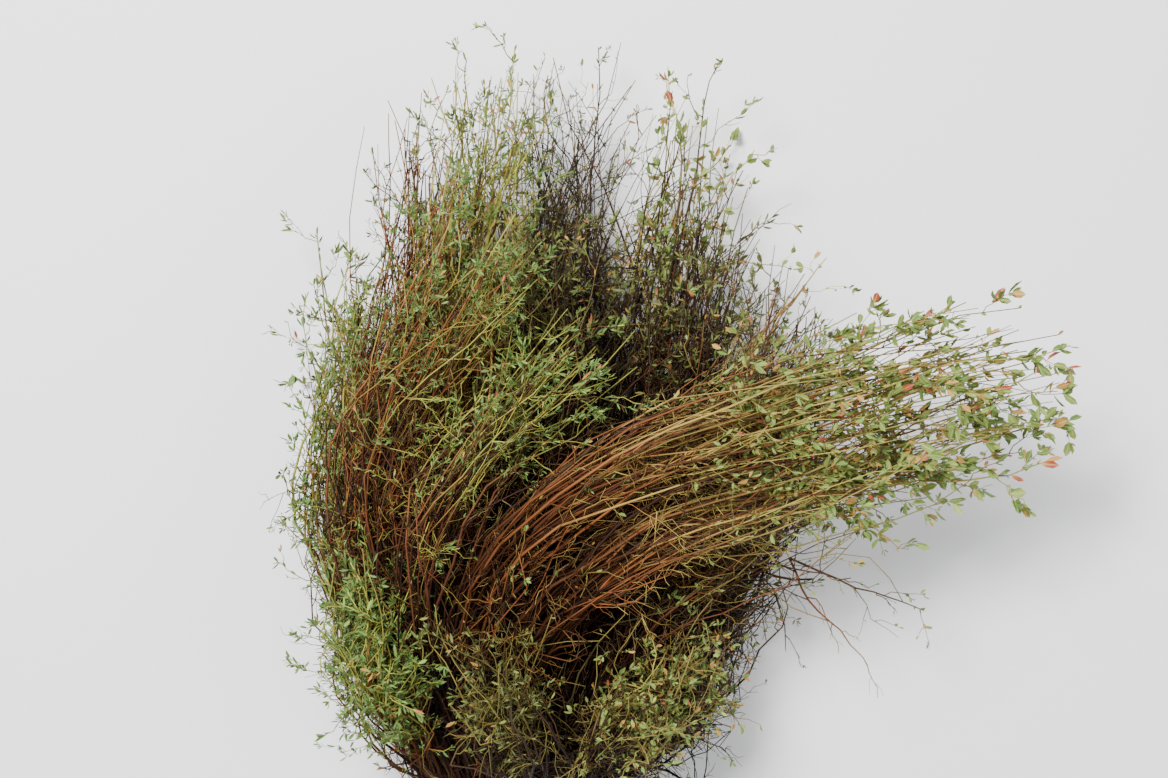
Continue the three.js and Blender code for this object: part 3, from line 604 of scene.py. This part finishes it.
def grow_twigs(spray, branch, number):
    """The twigs of one branch, and the finest twigs on them."""
    twigs, fine = [], []
    crook = spray["crook"]
    for i in range(TWIGS_A_BRANCH):
        spot = 0.3 + 0.66 * (i + rng.random()) / TWIGS_A_BRANCH
        turn = GOLDEN_ANGLE * (3 * number + i)
        reach = spray["reach"] * rng.uniform(*TWIG_REACH) * (1.15 - 0.5 * spot)
        radius = rng.uniform(*TWIG_RADII)
        twig = grow_twig(branch, spot, turn, reach, TWIG_POINTS, radius, crook)
        twigs.append(twig)
        is_open = openness(twig["line"][-1]) > OPEN_ENOUGH
        for j in range(int(rng.integers(1, MOST_FINE + 1)) if is_open else 0):
            fine_spot = 0.2 + 0.7 * (j + rng.random()) / MOST_FINE
            fine_reach = reach * rng.uniform(*FINE_REACH)
            fine_turn = turn + GOLDEN_ANGLE * j + 1
            radius = rng.uniform(*FINE_RADII)
            fine.append(grow_twig(twig, fine_spot, fine_turn, fine_reach, FINE_POINTS, radius,
                                  crook))
    return twigs, fine


print("A branch has", TWIGS_A_BRANCH, "twigs, and each has at most", MOST_FINE, "finer ones")

# %% [markdown]
# ## A whole spray
# The middle line of a spray runs from its handful along its route. Stems, branches, strays and
# wanderers follow it, and the twigs come last. The line from the end of the stack to the middle
# of the tips tells later how far up the spray a leaf stands.

# %% A whole spray
GUIDE_POINTS, SPINE_POINTS = 80, 9
TIP_SCATTER = 11  # mm


def grow(spray):
    """All tubes of a spray: those that carry few leaves, and three kinds of leafy ones."""
    stack = [slot_place(spray["slot"], y) for y in (CUT_Y, STACK_END_Y)]
    guide = curve_through([*stack, *spray["route"]], GUIDE_POINTS)
    spine = evenly(guide[guide[:, 1] >= STACK_END_Y], SPINE_POINTS)
    spray["spine"] = (spine, *directions(spine)[1:])
    first, last = (np.asarray(tip, float) for tip in spray["tips"])
    spray["way"] = (spine[0], (first + last) / 2 - spine[0])

    def tips(share):
        return first + (last - first) * share + rng.normal(0, TIP_SCATTER, 3)

    mains = grow_mains(spray, tips)
    branches = [grow_branch(spray, mains, tips) for _ in range(spray["branches"])]
    branches += [grow_stray(mains, tip) for tip in spray["strays"]]
    wanderers = [grow_wanderer(spray, mains + branches) for _ in range(spray["tangle"])]
    twigs, fine = [], []
    for number, branch in enumerate(branches + mains):
        more_twigs, more_fine = grow_twigs(spray, branch, number)
        twigs += more_twigs
        fine += more_fine
    return mains + wanderers, branches, twigs, fine


print("The tips of a spray scatter by", TIP_SCATTER, "mm")

# %% [markdown]
# ## Meshes
# A tube is a ring of corners at each point of its line, joined ring to ring. All tubes of a
# spray go into one mesh. Its map runs along the tube from old wood to young tip, and gives each
# tube one of six lanes, from the darkest bark to the lightest. The lanes lie in eight bands, from
# the dim inside of the bunch to its open outside, and the bark is given painted shade in the inner
# bands.

# %% Meshes
AGE_RIM, LANE_RIM = 0.01, 0.06  # left free at each end of the map and each side of a lane


def make_mesh(name, vertices, corners, starts, places):
    """A mesh object from flat lists: corners of all faces, where each face starts, its map."""
    mesh = bpy.data.meshes.new(name)
    mesh.vertices.add(len(vertices))
    mesh.vertices.foreach_set("co", vertices.astype(np.float32).ravel())
    mesh.loops.add(len(corners))
    mesh.polygons.add(len(starts))
    mesh.polygons.foreach_set("loop_start", starts.astype(np.int32))
    mesh.polygons.foreach_set("vertices", corners.astype(np.int32))
    mesh.update(calc_edges=True)
    mesh.polygons.foreach_set("use_smooth", np.ones(len(starts), bool))
    layer = mesh.uv_layers.new(name="OFBake")
    layer.data.foreach_set("uv", places.astype(np.float32).ravel())
    return add_object(name, mesh)


def tube_mesh(name, tubes):
    """All tubes in one mesh, each with a flat cap at both ends."""
    vertices, corners, starts, places = [], [], [], []
    count = corner_count = 0
    for one in tubes:
        sides = one["sides"]
        line = in_metres(one["line"])
        rings = len(line)
        _, across, up = directions(line)
        turn = np.arange(sides) / sides * 2 * math.pi
        spoke = across[:, None] * np.cos(turn)[:, None] + up[:, None] * np.sin(turn)[:, None]
        vertices.append((line[:, None] + spoke * one["radii"][:, None, None] * MM).reshape(-1, 3))
        k, i = np.meshgrid(np.arange(rings - 1), np.arange(sides), indexing="ij")
        after = (i + 1) % sides
        quads = np.stack([k * sides + i, k * sides + after, (k + 1) * sides + after,
                          (k + 1) * sides + i], axis=-1).reshape(-1)
        ages = np.stack([one["ages"][k], one["ages"][k], one["ages"][k + 1],
                         one["ages"][k + 1]], axis=-1).reshape(-1)
        round_it = np.stack([i, i + 1, i + 1, i], axis=-1).reshape(-1) / sides
        in_lane = LANE_RIM + (1 - 2 * LANE_RIM) * round_it
        lanes = (one["band"] + (one["lane"] + in_lane) / LANES) / BANDS
        caps = np.concatenate([np.arange(sides)[::-1], (rings - 1) * sides + np.arange(sides)])
        corners.append(np.concatenate([quads, caps]) + count)
        quad_starts = np.arange((rings - 1) * sides) * 4
        cap_starts = len(quads) + np.array([0, sides])
        starts.append(np.concatenate([quad_starts, cap_starts]) + corner_count)
        cap_ages = np.repeat([0.0, one["ages"][-1]], sides)
        cap_lanes = np.full(2 * sides, lanes[0])
        places.append(np.stack([
            np.concatenate([AGE_RIM + (1 - 2 * AGE_RIM) * ages, cap_ages]),
            np.concatenate([lanes, cap_lanes]),
        ], axis=1))
        count += rings * sides
        corner_count += len(quads) + 2 * sides
    return make_mesh(name, np.vstack(vertices), np.concatenate(corners),
                     np.concatenate(starts), np.vstack(places))


print("The map of the bark has", BANDS, "bands of", LANES, "lanes")

# %% [markdown]
# ## One leaf
# The leaf is small, longer than wide and blunt, folded a little along its midrib, and it bends
# back. It is modelled once from a grid: the grid's ends close to points, and the rows between get
# the leaf's width. The midrib of the third row goes on to the tip, which makes the tip blunt.

# %% One leaf
ROW_AT = (0, 0.32, 0.7, 1)  # of the leaf's length, for each row of the grid
WIDTH_AT = (0, 0.82, 0.9, 0)  # of half the leaf's width
FOLD, BEND_BACK = 0.35, 0.22

bpy.ops.object.select_all(action="DESELECT")
bpy.ops.mesh.primitive_grid_add(x_subdivisions=3, y_subdivisions=2, size=1)
leaf = bpy.context.object
for vertex in leaf.data.vertices:
    row = round((vertex.co.x + 0.5) * 3)
    side = round(vertex.co.y * 2)
    along = 1 if row == 2 and side == 0 else ROW_AT[row]
    height = abs(side) * WIDTH_AT[row] * FOLD - BEND_BACK * along**2
    vertex.co = (along, side * WIDTH_AT[row], height)
bpy.ops.object.mode_set(mode="EDIT")
bpy.ops.mesh.select_all(action="SELECT")
bpy.ops.mesh.remove_doubles(threshold=0.001)
bpy.ops.object.mode_set(mode="OBJECT")
leaf_points = np.array([vertex.co for vertex in leaf.data.vertices])
leaf_faces = [list(face.vertices) for face in leaf.data.polygons]
leaf_corners = np.concatenate(leaf_faces)
leaf_starts = np.cumsum([0] + [len(face) for face in leaf_faces[:-1]])
leaf_map = np.stack([leaf_points[:, 0], leaf_points[:, 1] * 0.5 + 0.5], axis=1)[leaf_corners]
bpy.data.objects.remove(leaf)
print("One leaf has", len(leaf_faces), "faces")

# %% [markdown]
# ## Places for the leaves
# Old wood is nearly bare. Leaves stand closer the younger the twig is and the leafier its spray,
# but a twig low down on its spray bears few, however young it is. They stand round the twig a
# golden angle apart, lean forwards with their upper side to its tip, and crowd at the tip.

# %% Places for the leaves
LEAF_STEP = 5.5  # mm from leaf to leaf on a young, leafy twig
YOUNG_STRETCH = 0.25  # over which leaves grow to their full number
LEAST_YOUTH = 0.02
CROWD, CROWD_CHANCE = (2, 7), 0.3
CROWD_SCATTER, CROWD_LENGTH = 0.1, 0.3  # shares of the twig, from its tip
LEAN = (0.35, 1.3)  # radians from the twig's direction
TWIST = 0.45
LEAST_LEAF = 1.6  # mm


def level_of(point, spray):
    """How far along the spray a point lies: 0 at the stack of cut ends, 1 among the tips."""
    start, way = spray["way"]
    return np.dot(point - start, way) / np.dot(way, way)


def leaf_places(twig, first, spray, part, size_part):
    """Root, direction, side and length of each leaf on a twig."""
    leafy = spray["leafy"] * part
    line = twig["line"]
    long = np.linalg.norm(np.diff(line, axis=0), axis=1).sum()
    age = np.interp((1 + first) / 2, np.linspace(0, 1, len(line)), twig["ages"])
    young = min(age, level_of(line[len(line) // 2], spray))
    youth = np.clip((young - spray["green_from"]) / YOUNG_STRETCH, LEAST_YOUTH, 1)
    spread_out = rng.poisson(long * (1 - first) / LEAF_STEP * leafy * youth)
    crowd = rng.integers(*CROWD) if rng.random() < (CROWD_CHANCE + leafy) * youth else 0
    count = spread_out + crowd
    if count == 0:
        return None
    spots = rng.uniform(first, 1, spread_out)
    from_tip = np.minimum(np.abs(rng.normal(0, CROWD_SCATTER, crowd)), CROWD_LENGTH)
    spots = np.concatenate([spots, 1 - from_tip])
    place = spots * (len(line) - 1)
    low = np.minimum(place.astype(int), len(line) - 2)
    start = line[low] + (line[low + 1] - line[low]) * (place - low)[:, None]
    along = unit(line[low + 1] - line[low])
    across, up = across_and_up(along)
    turn = (np.arange(count) * GOLDEN_ANGLE + rng.uniform(0, 6.28))[:, None]
    out = across * np.cos(turn) + up * np.sin(turn)
    lean = rng.uniform(*LEAN, (count, 1)) * (1.1 - 0.4 * spots[:, None])
    ahead = along * np.cos(lean) + out * np.sin(lean)
    side = unit(np.cross(ahead, along) + TWIST * rng.normal(0, 1, ahead.shape))
    side = unit(side - ahead * (side * ahead).sum(axis=1, keepdims=True))
    full = size_part * (0.5 + 0.5 * youth)
    size = spray["leaf_mm"] * full * rng.beta(2, 2.4, count) * 1.5 + LEAST_LEAF
    return start, ahead, side, size


print("On a young, leafy twig a leaf stands every", LEAF_STEP, "mm")

# %% [markdown]
# ## All leaves
# The leaves of a spray are copies of the one leaf in a single mesh, some narrower or more folded
# than others. The map is a sheet of 8 by 8 leaves. Its last two columns are for the leaves that
# turn orange and red, and its rows go from the dim inside of the bunch to the open, so that the
# leaf group can paint shade on the inner rows.

# %% All leaves
TILES = BANDS
TILE_RIM = 0.04  # left free round each leaf of the sheet
HALF_WIDTH = dict(olive=(0.12, 0.18), fresh=(0.1, 0.16), lime=(0.16, 0.27))  # of a leaf's length
THICKEN, FOLDS = 1.6, (0.2, 1.4)  # how strongly a leaf is folded and bent back
MARGIN = 6 * MM  # how far a leaf may stand above the box of the solids
LIFT = 0.6 * MM  # the least height above the floor


def leaf_mesh(spray, bare, branches, twigs, fine):
    kinds = [  # tubes, where their leaves begin, and their shares of leaves and of size
        (branches, 0.65, 0.7, 1), (bare[MAIN_STEMS:], 0.5, 0.5, 0.8),
        (twigs, 0.3, 1, 1), (fine, 0.1, 1, 0.9),
    ]
    sets = [leaf_places(one, first, spray, part, size_part)
            for tubes, first, part, size_part in kinds for one in tubes]
    starts, ahead, side, size = (np.concatenate(parts) for parts in zip(*filter(None, sets)))
    count = len(starts)
    normal = np.cross(ahead, side)
    narrow = rng.uniform(*HALF_WIDTH[spray["leaf_look"]], (count, 1))
    bend = rng.uniform(*FOLDS, (count, 1))
    size = size[:, None] * MM
    points = (
        in_metres(starts)[:, None]
        + leaf_points[:, :1] * (ahead * size)[:, None]
        + leaf_points[:, 1:2] * (side * size * narrow)[:, None]
        + leaf_points[:, 2:] * (normal * size * narrow * THICKEN * bend)[:, None]
    )
    sunk = np.maximum(LIFT - points[:, :, 2].min(axis=1), 0)
    raised = np.maximum(points[:, :, 2].max(axis=1) - cad_high[2] - MARGIN, 0)
    points[:, :, 2] += (sunk - raised)[:, None]
    corners = leaf_corners + np.arange(count)[:, None] * len(leaf_points)
    begins = leaf_starts + np.arange(count)[:, None] * len(leaf_corners)
    column = rng.choice(TILES, count, p=spray["tile_shares"])
    tile = np.stack([column, painted_shade_band(starts)], axis=1)
    places = (tile[:, None] + TILE_RIM + (1 - 2 * TILE_RIM) * leaf_map) / TILES
    return make_mesh(f"{spray['name']}_leaves", points.reshape(-1, 3), corners.ravel(),
                     begins.ravel(), places.reshape(-1, 2))


print("Half a leaf's width is", HALF_WIDTH["fresh"], "of its length on fresh green twigs")

# %% [markdown]
# ## Building with nodes
# The materials are worked out by nodes. These helpers add a node, link its inputs or set them,
# reckon with numbers and colours, and read the map.

# %% Node helpers
def add_node(tree, kind, **settings):
    node = tree.nodes.new(kind)
    for key, value in settings.items():
        setattr(node, key, value)
    return node


def feed(tree, socket, value):
    """Links a socket to another one, or sets its value."""
    if isinstance(value, bpy.types.NodeSocket):
        tree.links.new(value, socket)
    else:
        socket.default_value = value


def math_node(tree, operation, a, b=0.0):
    node = add_node(tree, "ShaderNodeMath", operation=operation)
    feed(tree, node.inputs[0], a)
    feed(tree, node.inputs[1], b)
    return node.outputs[0]


def times(tree, a, b):
    return math_node(tree, "MULTIPLY", a, b)


def plus(tree, a, b):
    return math_node(tree, "ADD", a, b)


def scaled(tree, value, least, more):
    """The least, and more of it as the value goes from 0 to 1."""
    return plus(tree, times(tree, value, more), least)


def smooth_step(tree, value, low, high):
    node = add_node(tree, "ShaderNodeMapRange", interpolation_type="SMOOTHSTEP")
    feed(tree, node.inputs["Value"], value)
    feed(tree, node.inputs["From Min"], low)
    feed(tree, node.inputs["From Max"], high)
    return node.outputs["Result"]


def mix_colour(tree, share, one, other, blend="MIX"):
    node = add_node(tree, "ShaderNodeMix", data_type="RGBA", blend_type=blend)
    feed(tree, node.inputs["Factor"], share)
    feed(tree, node.inputs[6], one)
    feed(tree, node.inputs[7], other)
    return node.outputs[2]


def lit(tree, colour, light):
    """A colour, multiplied by how much light reaches it."""
    grey = add_node(tree, "ShaderNodeCombineColor")
    for channel in grey.inputs:
        feed(tree, channel, light)
    return mix_colour(tree, 1.0, colour, grey.outputs[0], "MULTIPLY")


def new_group(name, colours, numbers):
    """A shader node group with those inputs, and a colour and a height as outputs."""
    tree = bpy.data.node_groups.new(name, "ShaderNodeTree")
    sockets = [(socket, "INPUT", "Color") for socket in colours]
    sockets += [(socket, "INPUT", "Float") for socket in numbers]
    sockets += [("Colour", "OUTPUT", "Color"), ("Height", "OUTPUT", "Float")]
    for socket, way, kind in sockets:
        tree.interface.new_socket(socket, in_out=way, socket_type=f"NodeSocket{kind}")
    start = tree.nodes.new("NodeGroupInput")
    end = tree.nodes.new("NodeGroupOutput")
    return tree, [start.outputs[socket] for socket in colours + numbers], end


def map_axes(tree):
    where = add_node(tree, "ShaderNodeUVMap", uv_map="OFBake")
    split = add_node(tree, "ShaderNodeSeparateXYZ")
    tree.links.new(where.outputs[0], split.inputs[0])
    return split.outputs["X"], split.outputs["Y"]


def spot_of(tree, x, y):
    spot = add_node(tree, "ShaderNodeCombineXYZ")
    feed(tree, spot.inputs["X"], x)
    feed(tree, spot.inputs["Y"], y)
    return spot.outputs[0]


def noise_at(tree, x, y, scale_x, scale_y, detail):
    """A noise on the map, stretched by its own scale along each axis."""
    noise = add_node(tree, "ShaderNodeTexNoise")
    noise.inputs["Scale"].default_value = 1.0
    noise.inputs["Detail"].default_value = detail
    spot = spot_of(tree, times(tree, x, scale_x), times(tree, y, scale_y))
    tree.links.new(spot, noise.inputs["Vector"])
    return noise.outputs["Fac"]


print("The helpers read the map named OFBake")

# %% [markdown]
# ## The colour of bark and shoots
# One node group serves all sprays. The cut ends show pale wood. Behind them the bark is dry and
# greyish, then old and dark, then younger and redder, and at last it gives way to a green shoot.
# Where it does so differs from lane to lane, and so does how light it is. The lower stems lie in
# the shade of the bunch. That shade is painted, and so is more shade on bark in the dim inside and
# on dim sprays. Fine streaks run along the bark. Each material keeps its own shader and feeds it
# the group's colour and height.

# %% The bark group
CUT_AGES, STACK_AGES, SHADE_AGES = (0.009, 0.004), (0.2, 0.04), (0.34, 0.66)  # where each fades
TURN_SCATTER = 0.4  # among the lanes, in where they turn green
YOUNG_FADE, GREEN_FADE = (-0.46, -0.06), (-0.12, 0.14)  # round the age of turning green
DRY_ABOVE = 0.86  # of the draws, so one lane in seven is dry
DRY_SHARE = 0.6
STREAK_SCALE, TONE_SCALE = (46, 900, 3), (5, 373, 1)  # along, across, and detail
STREAK_LIGHT, TONE_LIGHT = 0.7, 0.9
LANE_CURVE, LANE_LIGHT = 1.4, (0.35, 1.1)  # light: the least, and how much more there can be
# Painted shade: the least light of the bark and how much more, by band and on the lower stems
PAINTED_BAND_LIGHT, SHADE_LIGHT = (0.24, 0.76), (0.58, 0.42)
# Painted shade: the bark's light before each spray's dimness is taken from it
FULL_LIGHT = 1.12


def bark_group():
    tree, inputs, end = new_group(
        "bark", ["Old bark", "Young bark", "Shoot", "Dry bark", "Cut wood"],
        ["Turns green at", "Painted dimness"],
    )
    old_bark, young_bark, shoot, dry_bark, cut_wood, turns_green, painted_dimness = inputs
    age, around = map_axes(tree)
    band = math_node(tree, "FLOOR", times(tree, around, float(BANDS)))
    lane = math_node(tree, "FLOOR", times(tree, around, float(BANDS * LANES)))
    draw = add_node(tree, "ShaderNodeTexWhiteNoise", noise_dimensions="1D")
    tree.links.new(lane, draw.inputs["W"])
    draws = add_node(tree, "ShaderNodeSeparateColor")
    tree.links.new(draw.outputs["Color"], draws.inputs[0])
    shift = times(tree, math_node(tree, "SUBTRACT", draws.outputs[0], 0.5), TURN_SCATTER)
    turn = plus(tree, turns_green, shift)
    young, green = (
        smooth_step(tree, age, *[plus(tree, turn, step) for step in fade])
        for fade in (YOUNG_FADE, GREEN_FADE)
    )
    colour = mix_colour(tree, young, old_bark, young_bark)
    colour = mix_colour(tree, green, colour, shoot)
    in_stack = smooth_step(tree, age, *STACK_AGES)
    dry = math_node(tree, "GREATER_THAN", draws.outputs[1], DRY_ABOVE)
    dry = times(tree, math_node(tree, "MAXIMUM", dry, in_stack), DRY_SHARE)
    colour = mix_colour(tree, dry, colour, dry_bark)
    streak = noise_at(tree, age, around, *STREAK_SCALE)
    tone = noise_at(tree, age, around, *TONE_SCALE)
    light = plus(tree, times(tree, streak, STREAK_LIGHT), times(tree, tone, TONE_LIGHT))
    paleness = math_node(tree, "MODULO", lane, float(LANES))
    paleness = math_node(tree, "DIVIDE", paleness, LANES - 1.0)
    paleness = math_node(tree, "POWER", paleness, LANE_CURVE)
    light = times(tree, light, scaled(tree, paleness, *LANE_LIGHT))
    # Painted shade: each spray's dimness darkens its bark, and below zero paints it lighter
    light = times(tree, light, math_node(tree, "SUBTRACT", FULL_LIGHT, painted_dimness))
    # Painted shade: bark in the dim inside of the bunch is darker than bark in the open
    out_share = math_node(tree, "DIVIDE", band, BANDS - 1.0)
    light = times(tree, light, scaled(tree, out_share, *PAINTED_BAND_LIGHT))
    out_of_shade = math_node(tree, "MAXIMUM", in_stack, smooth_step(tree, age, *SHADE_AGES))
    light = times(tree, light, scaled(tree, out_of_shade, *SHADE_LIGHT))
    cut = smooth_step(tree, age, *CUT_AGES)
    colour = mix_colour(tree, cut, lit(tree, colour, light), cut_wood)
    feed(tree, end.inputs["Colour"], colour)
    feed(tree, end.inputs["Height"], streak)
    return tree


BARK_GROUP = bark_group()
print("The bark group has", len(BARK_GROUP.nodes), "nodes")

# %% [markdown]
# ## The colour of the leaves
# The group reads which leaf of the sheet a point belongs to and where it lies there. The midrib
# is paler, side veins slant from it, and the rim is darker. Each leaf of the sheet has its own
# green, and those in the last two columns have turned orange or red. Leaves in the rows of the
# dim inside get painted shade.

# %% The leaf group
BLOTCH_SCALE, BLOTCH_FADE = (46, 46, 3), (0.2, 0.6)
BLUSH_FADE = (0.1, 0.6)  # along the leaf
VEIN_COLOUR = (0.62, 0.62, 0.28, 1)
VEIN_WAVES, VEIN_FADE, VEIN_SHARE = 44.0, (0.7, 1.0), 0.14
RIB_FADE, RIB_SHARE = (0.07, 0.02), 0.4  # from the midrib, in widths of the leaf
RIM_FADE, RIM_DARK = (0.33, 0.48), 0.18
# Painted shade by row: the least light of a leaf in the dimmest row, and how much more in the open
PAINTED_ROW_LIGHT, BLOTCH_LIGHT = (0.28, 0.72), (0.72, 0.55)
BLOTCH_HEIGHT = 0.4


def leaf_group():
    tree, inputs, end = new_group("leaf", ["Light green", "Deep green", "Turned", "Red"], [])
    light_green, deep_green, turned_colour, red_colour = inputs
    u, v = map_axes(tree)
    grid = [times(tree, axis, float(TILES)) for axis in (u, v)]
    column, row = (math_node(tree, "FLOOR", axis) for axis in grid)
    along, side = (math_node(tree, "FRACT", axis) for axis in grid)
    own = add_node(tree, "ShaderNodeTexWhiteNoise")
    tree.links.new(spot_of(tree, column, row), own.inputs["Vector"])
    colour = mix_colour(tree, own.outputs["Value"], light_green, deep_green)
    blotch = noise_at(tree, u, v, *BLOTCH_SCALE)
    turned = math_node(tree, "GREATER_THAN", column, TILES - 2.5)
    turned = times(tree, turned, smooth_step(tree, blotch, *BLOTCH_FADE))
    colour = mix_colour(tree, turned, colour, turned_colour)
    red = math_node(tree, "GREATER_THAN", column, TILES - 1.5)
    blush = times(tree, red, smooth_step(tree, along, *BLUSH_FADE))
    colour = mix_colour(tree, blush, colour, red_colour)
    from_rib = math_node(tree, "ABSOLUTE", math_node(tree, "SUBTRACT", side, 0.5))
    slant = times(tree, math_node(tree, "SUBTRACT", along, from_rib), VEIN_WAVES)
    vein = smooth_step(tree, math_node(tree, "SINE", slant), *VEIN_FADE)
    rib = smooth_step(tree, from_rib, *RIB_FADE)
    pale = math_node(tree, "MAXIMUM", times(tree, rib, RIB_SHARE), times(tree, vein, VEIN_SHARE))
    colour = mix_colour(tree, pale, colour, VEIN_COLOUR)
    # Painted shade: leaves in the rows of the dim inside are darker than those in the open
    out_share = math_node(tree, "DIVIDE", row, BANDS - 1.0)
    light = times(tree, scaled(tree, blotch, *BLOTCH_LIGHT), scaled(tree, out_share, *PAINTED_ROW_LIGHT))
    rim = times(tree, smooth_step(tree, from_rib, *RIM_FADE), RIM_DARK)
    light = math_node(tree, "SUBTRACT", light, rim)
    feed(tree, end.inputs["Colour"], lit(tree, colour, light))
    feed(tree, end.inputs["Height"], plus(tree, pale, times(tree, blotch, BLOTCH_HEIGHT)))
    return tree


LEAF_GROUP = leaf_group()
print("The leaf group has", len(LEAF_GROUP.nodes), "nodes")

# %% [markdown]
# ## Materials
# Each spray has one material for its bark and shoots and one for its leaves, from the same two
# groups with its own colours. Its dimness paints shade on the bark, and below zero it paints the
# bark lighter. Bark and leaves are dull, and their streaks and veins are shallow.

# %% Materials
def linear(red, green, blue):
    """A colour as it is seen on a screen, 0 to 255, as the numbers that light adds up in."""
    return (*[((value / 255 + 0.055) / 1.055)**2.4 for value in (red, green, blue)], 1)


BARKS = {  # old and young
    "dark": [(40, 27, 20), (82, 55, 40)],
    "chestnut": [(54, 32, 20), (106, 60, 36)],
    "orange": [(70, 39, 22), (136, 80, 42)],
}
GREENS = {  # of the shoot, and the lightest and the deepest of the leaves
    "olive": [(114, 104, 50), (112, 120, 54), (64, 76, 36)],
    "fresh": [(148, 146, 64), (124, 154, 68), (62, 98, 44)],
    "lime": [(162, 146, 76), (142, 158, 74), (92, 120, 54)],
}
DRY_BARK, CUT_WOOD = linear(126, 98, 72), linear(214, 186, 138)
TURNED, RED = linear(178, 122, 60), linear(158, 66, 50)
BARK_ROUGHNESS, BARK_RELIEF = 0.62, 0.4  # relief in mm
LEAF_ROUGHNESS, LEAF_RELIEF = 0.5, 0.25
RELIEF_STRENGTH, SPECULAR = 0.6, 0.2


def group_material(name, group, values, roughness, relief):
    material, shader = new_material(name, roughness)
    tree = material.node_tree
    source = add_node(tree, "ShaderNodeGroup", node_tree=group)
    for key, value in values.items():
        source.inputs[key].default_value = value
    bump = add_node(tree, "ShaderNodeBump")
    bump.inputs["Strength"].default_value = RELIEF_STRENGTH
    bump.inputs["Distance"].default_value = relief * MM
    tree.links.new(source.outputs["Height"], bump.inputs["Height"])
    tree.links.new(bump.outputs["Normal"], shader.inputs["Normal"])
    tree.links.new(source.outputs["Colour"], shader.inputs["Base Color"])
    shader.inputs["Specular IOR Level"].default_value = SPECULAR
    return material


def spray_materials(spray):
    old, young = (linear(*colour) for colour in BARKS[spray["bark"]])
    shoot, light, deep = (linear(*colour) for colour in GREENS[spray["leaf_look"]])
    stems = group_material(f"{spray['name']} bark", BARK_GROUP, {
        "Old bark": old, "Young bark": young, "Shoot": shoot, "Dry bark": DRY_BARK,
        "Cut wood": CUT_WOOD, "Turns green at": spray["turn"], "Painted dimness": spray["painted_dim"],
    }, BARK_ROUGHNESS, BARK_RELIEF)
    leaves = group_material(f"{spray['name']} leaf", LEAF_GROUP, {
        "Light green": light, "Deep green": deep, "Turned": TURNED, "Red": RED,
    }, LEAF_ROUGHNESS, LEAF_RELIEF)
    return stems, leaves


print("Bark is", ", ".join(BARKS), "and leaves are", ", ".join(GREENS))

# %% [markdown]
# ## Growing the bunch
# Each spray becomes two pieces: its stems and twigs, which stand for its woody solid, and its
# leaves, which stand for its green shoots. It has its own seed, so every run grows the same
# bunch, and a change in one spray leaves the others as they are.

# %% Growing the bunch
TURNED_SHARES = dict(olive=(0.06, 0.02), fresh=(0.04, 0.01), lime=(0.12, 0.04))
triangles = 0
for number, spray in enumerate(SPRAYS):
    rng = np.random.default_rng(SEED + number)
    name = spray["name"]
    turned, red = TURNED_SHARES[spray["leaf"]]
    plain = (1 - turned - red) / (TILES - 2)
    spray["tile_shares"] = [plain] * (TILES - 2) + [turned, red]
    bare, branches, twigs, fine = grow(spray)
    tubes = bare + branches + twigs + fine
    stems = tube_mesh(f"{name}_stems", tubes)
    leaves = leaf_mesh(spray, bare, branches, twigs, fine)
    bark_material, leaf_material = spray_materials(spray)
    stems.data.materials.append(bark_material)
    leaves.data.materials.append(leaf_material)
    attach(stems, "root")
    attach(leaves, "root")
    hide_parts(f"{name}_wood")
    shoots = [f"{name}_shoot_{shoot}" for shoot in (1, 2)]
    shoots = [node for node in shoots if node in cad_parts]
    if shoots:
        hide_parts(*shoots)
    made = sum(len(face.vertices) - 2 for piece in (stems, leaves)
               for face in piece.data.polygons)
    triangles += made
    print(name, len(tubes), "tubes,", made, "triangles")
print(triangles, "triangles in all")
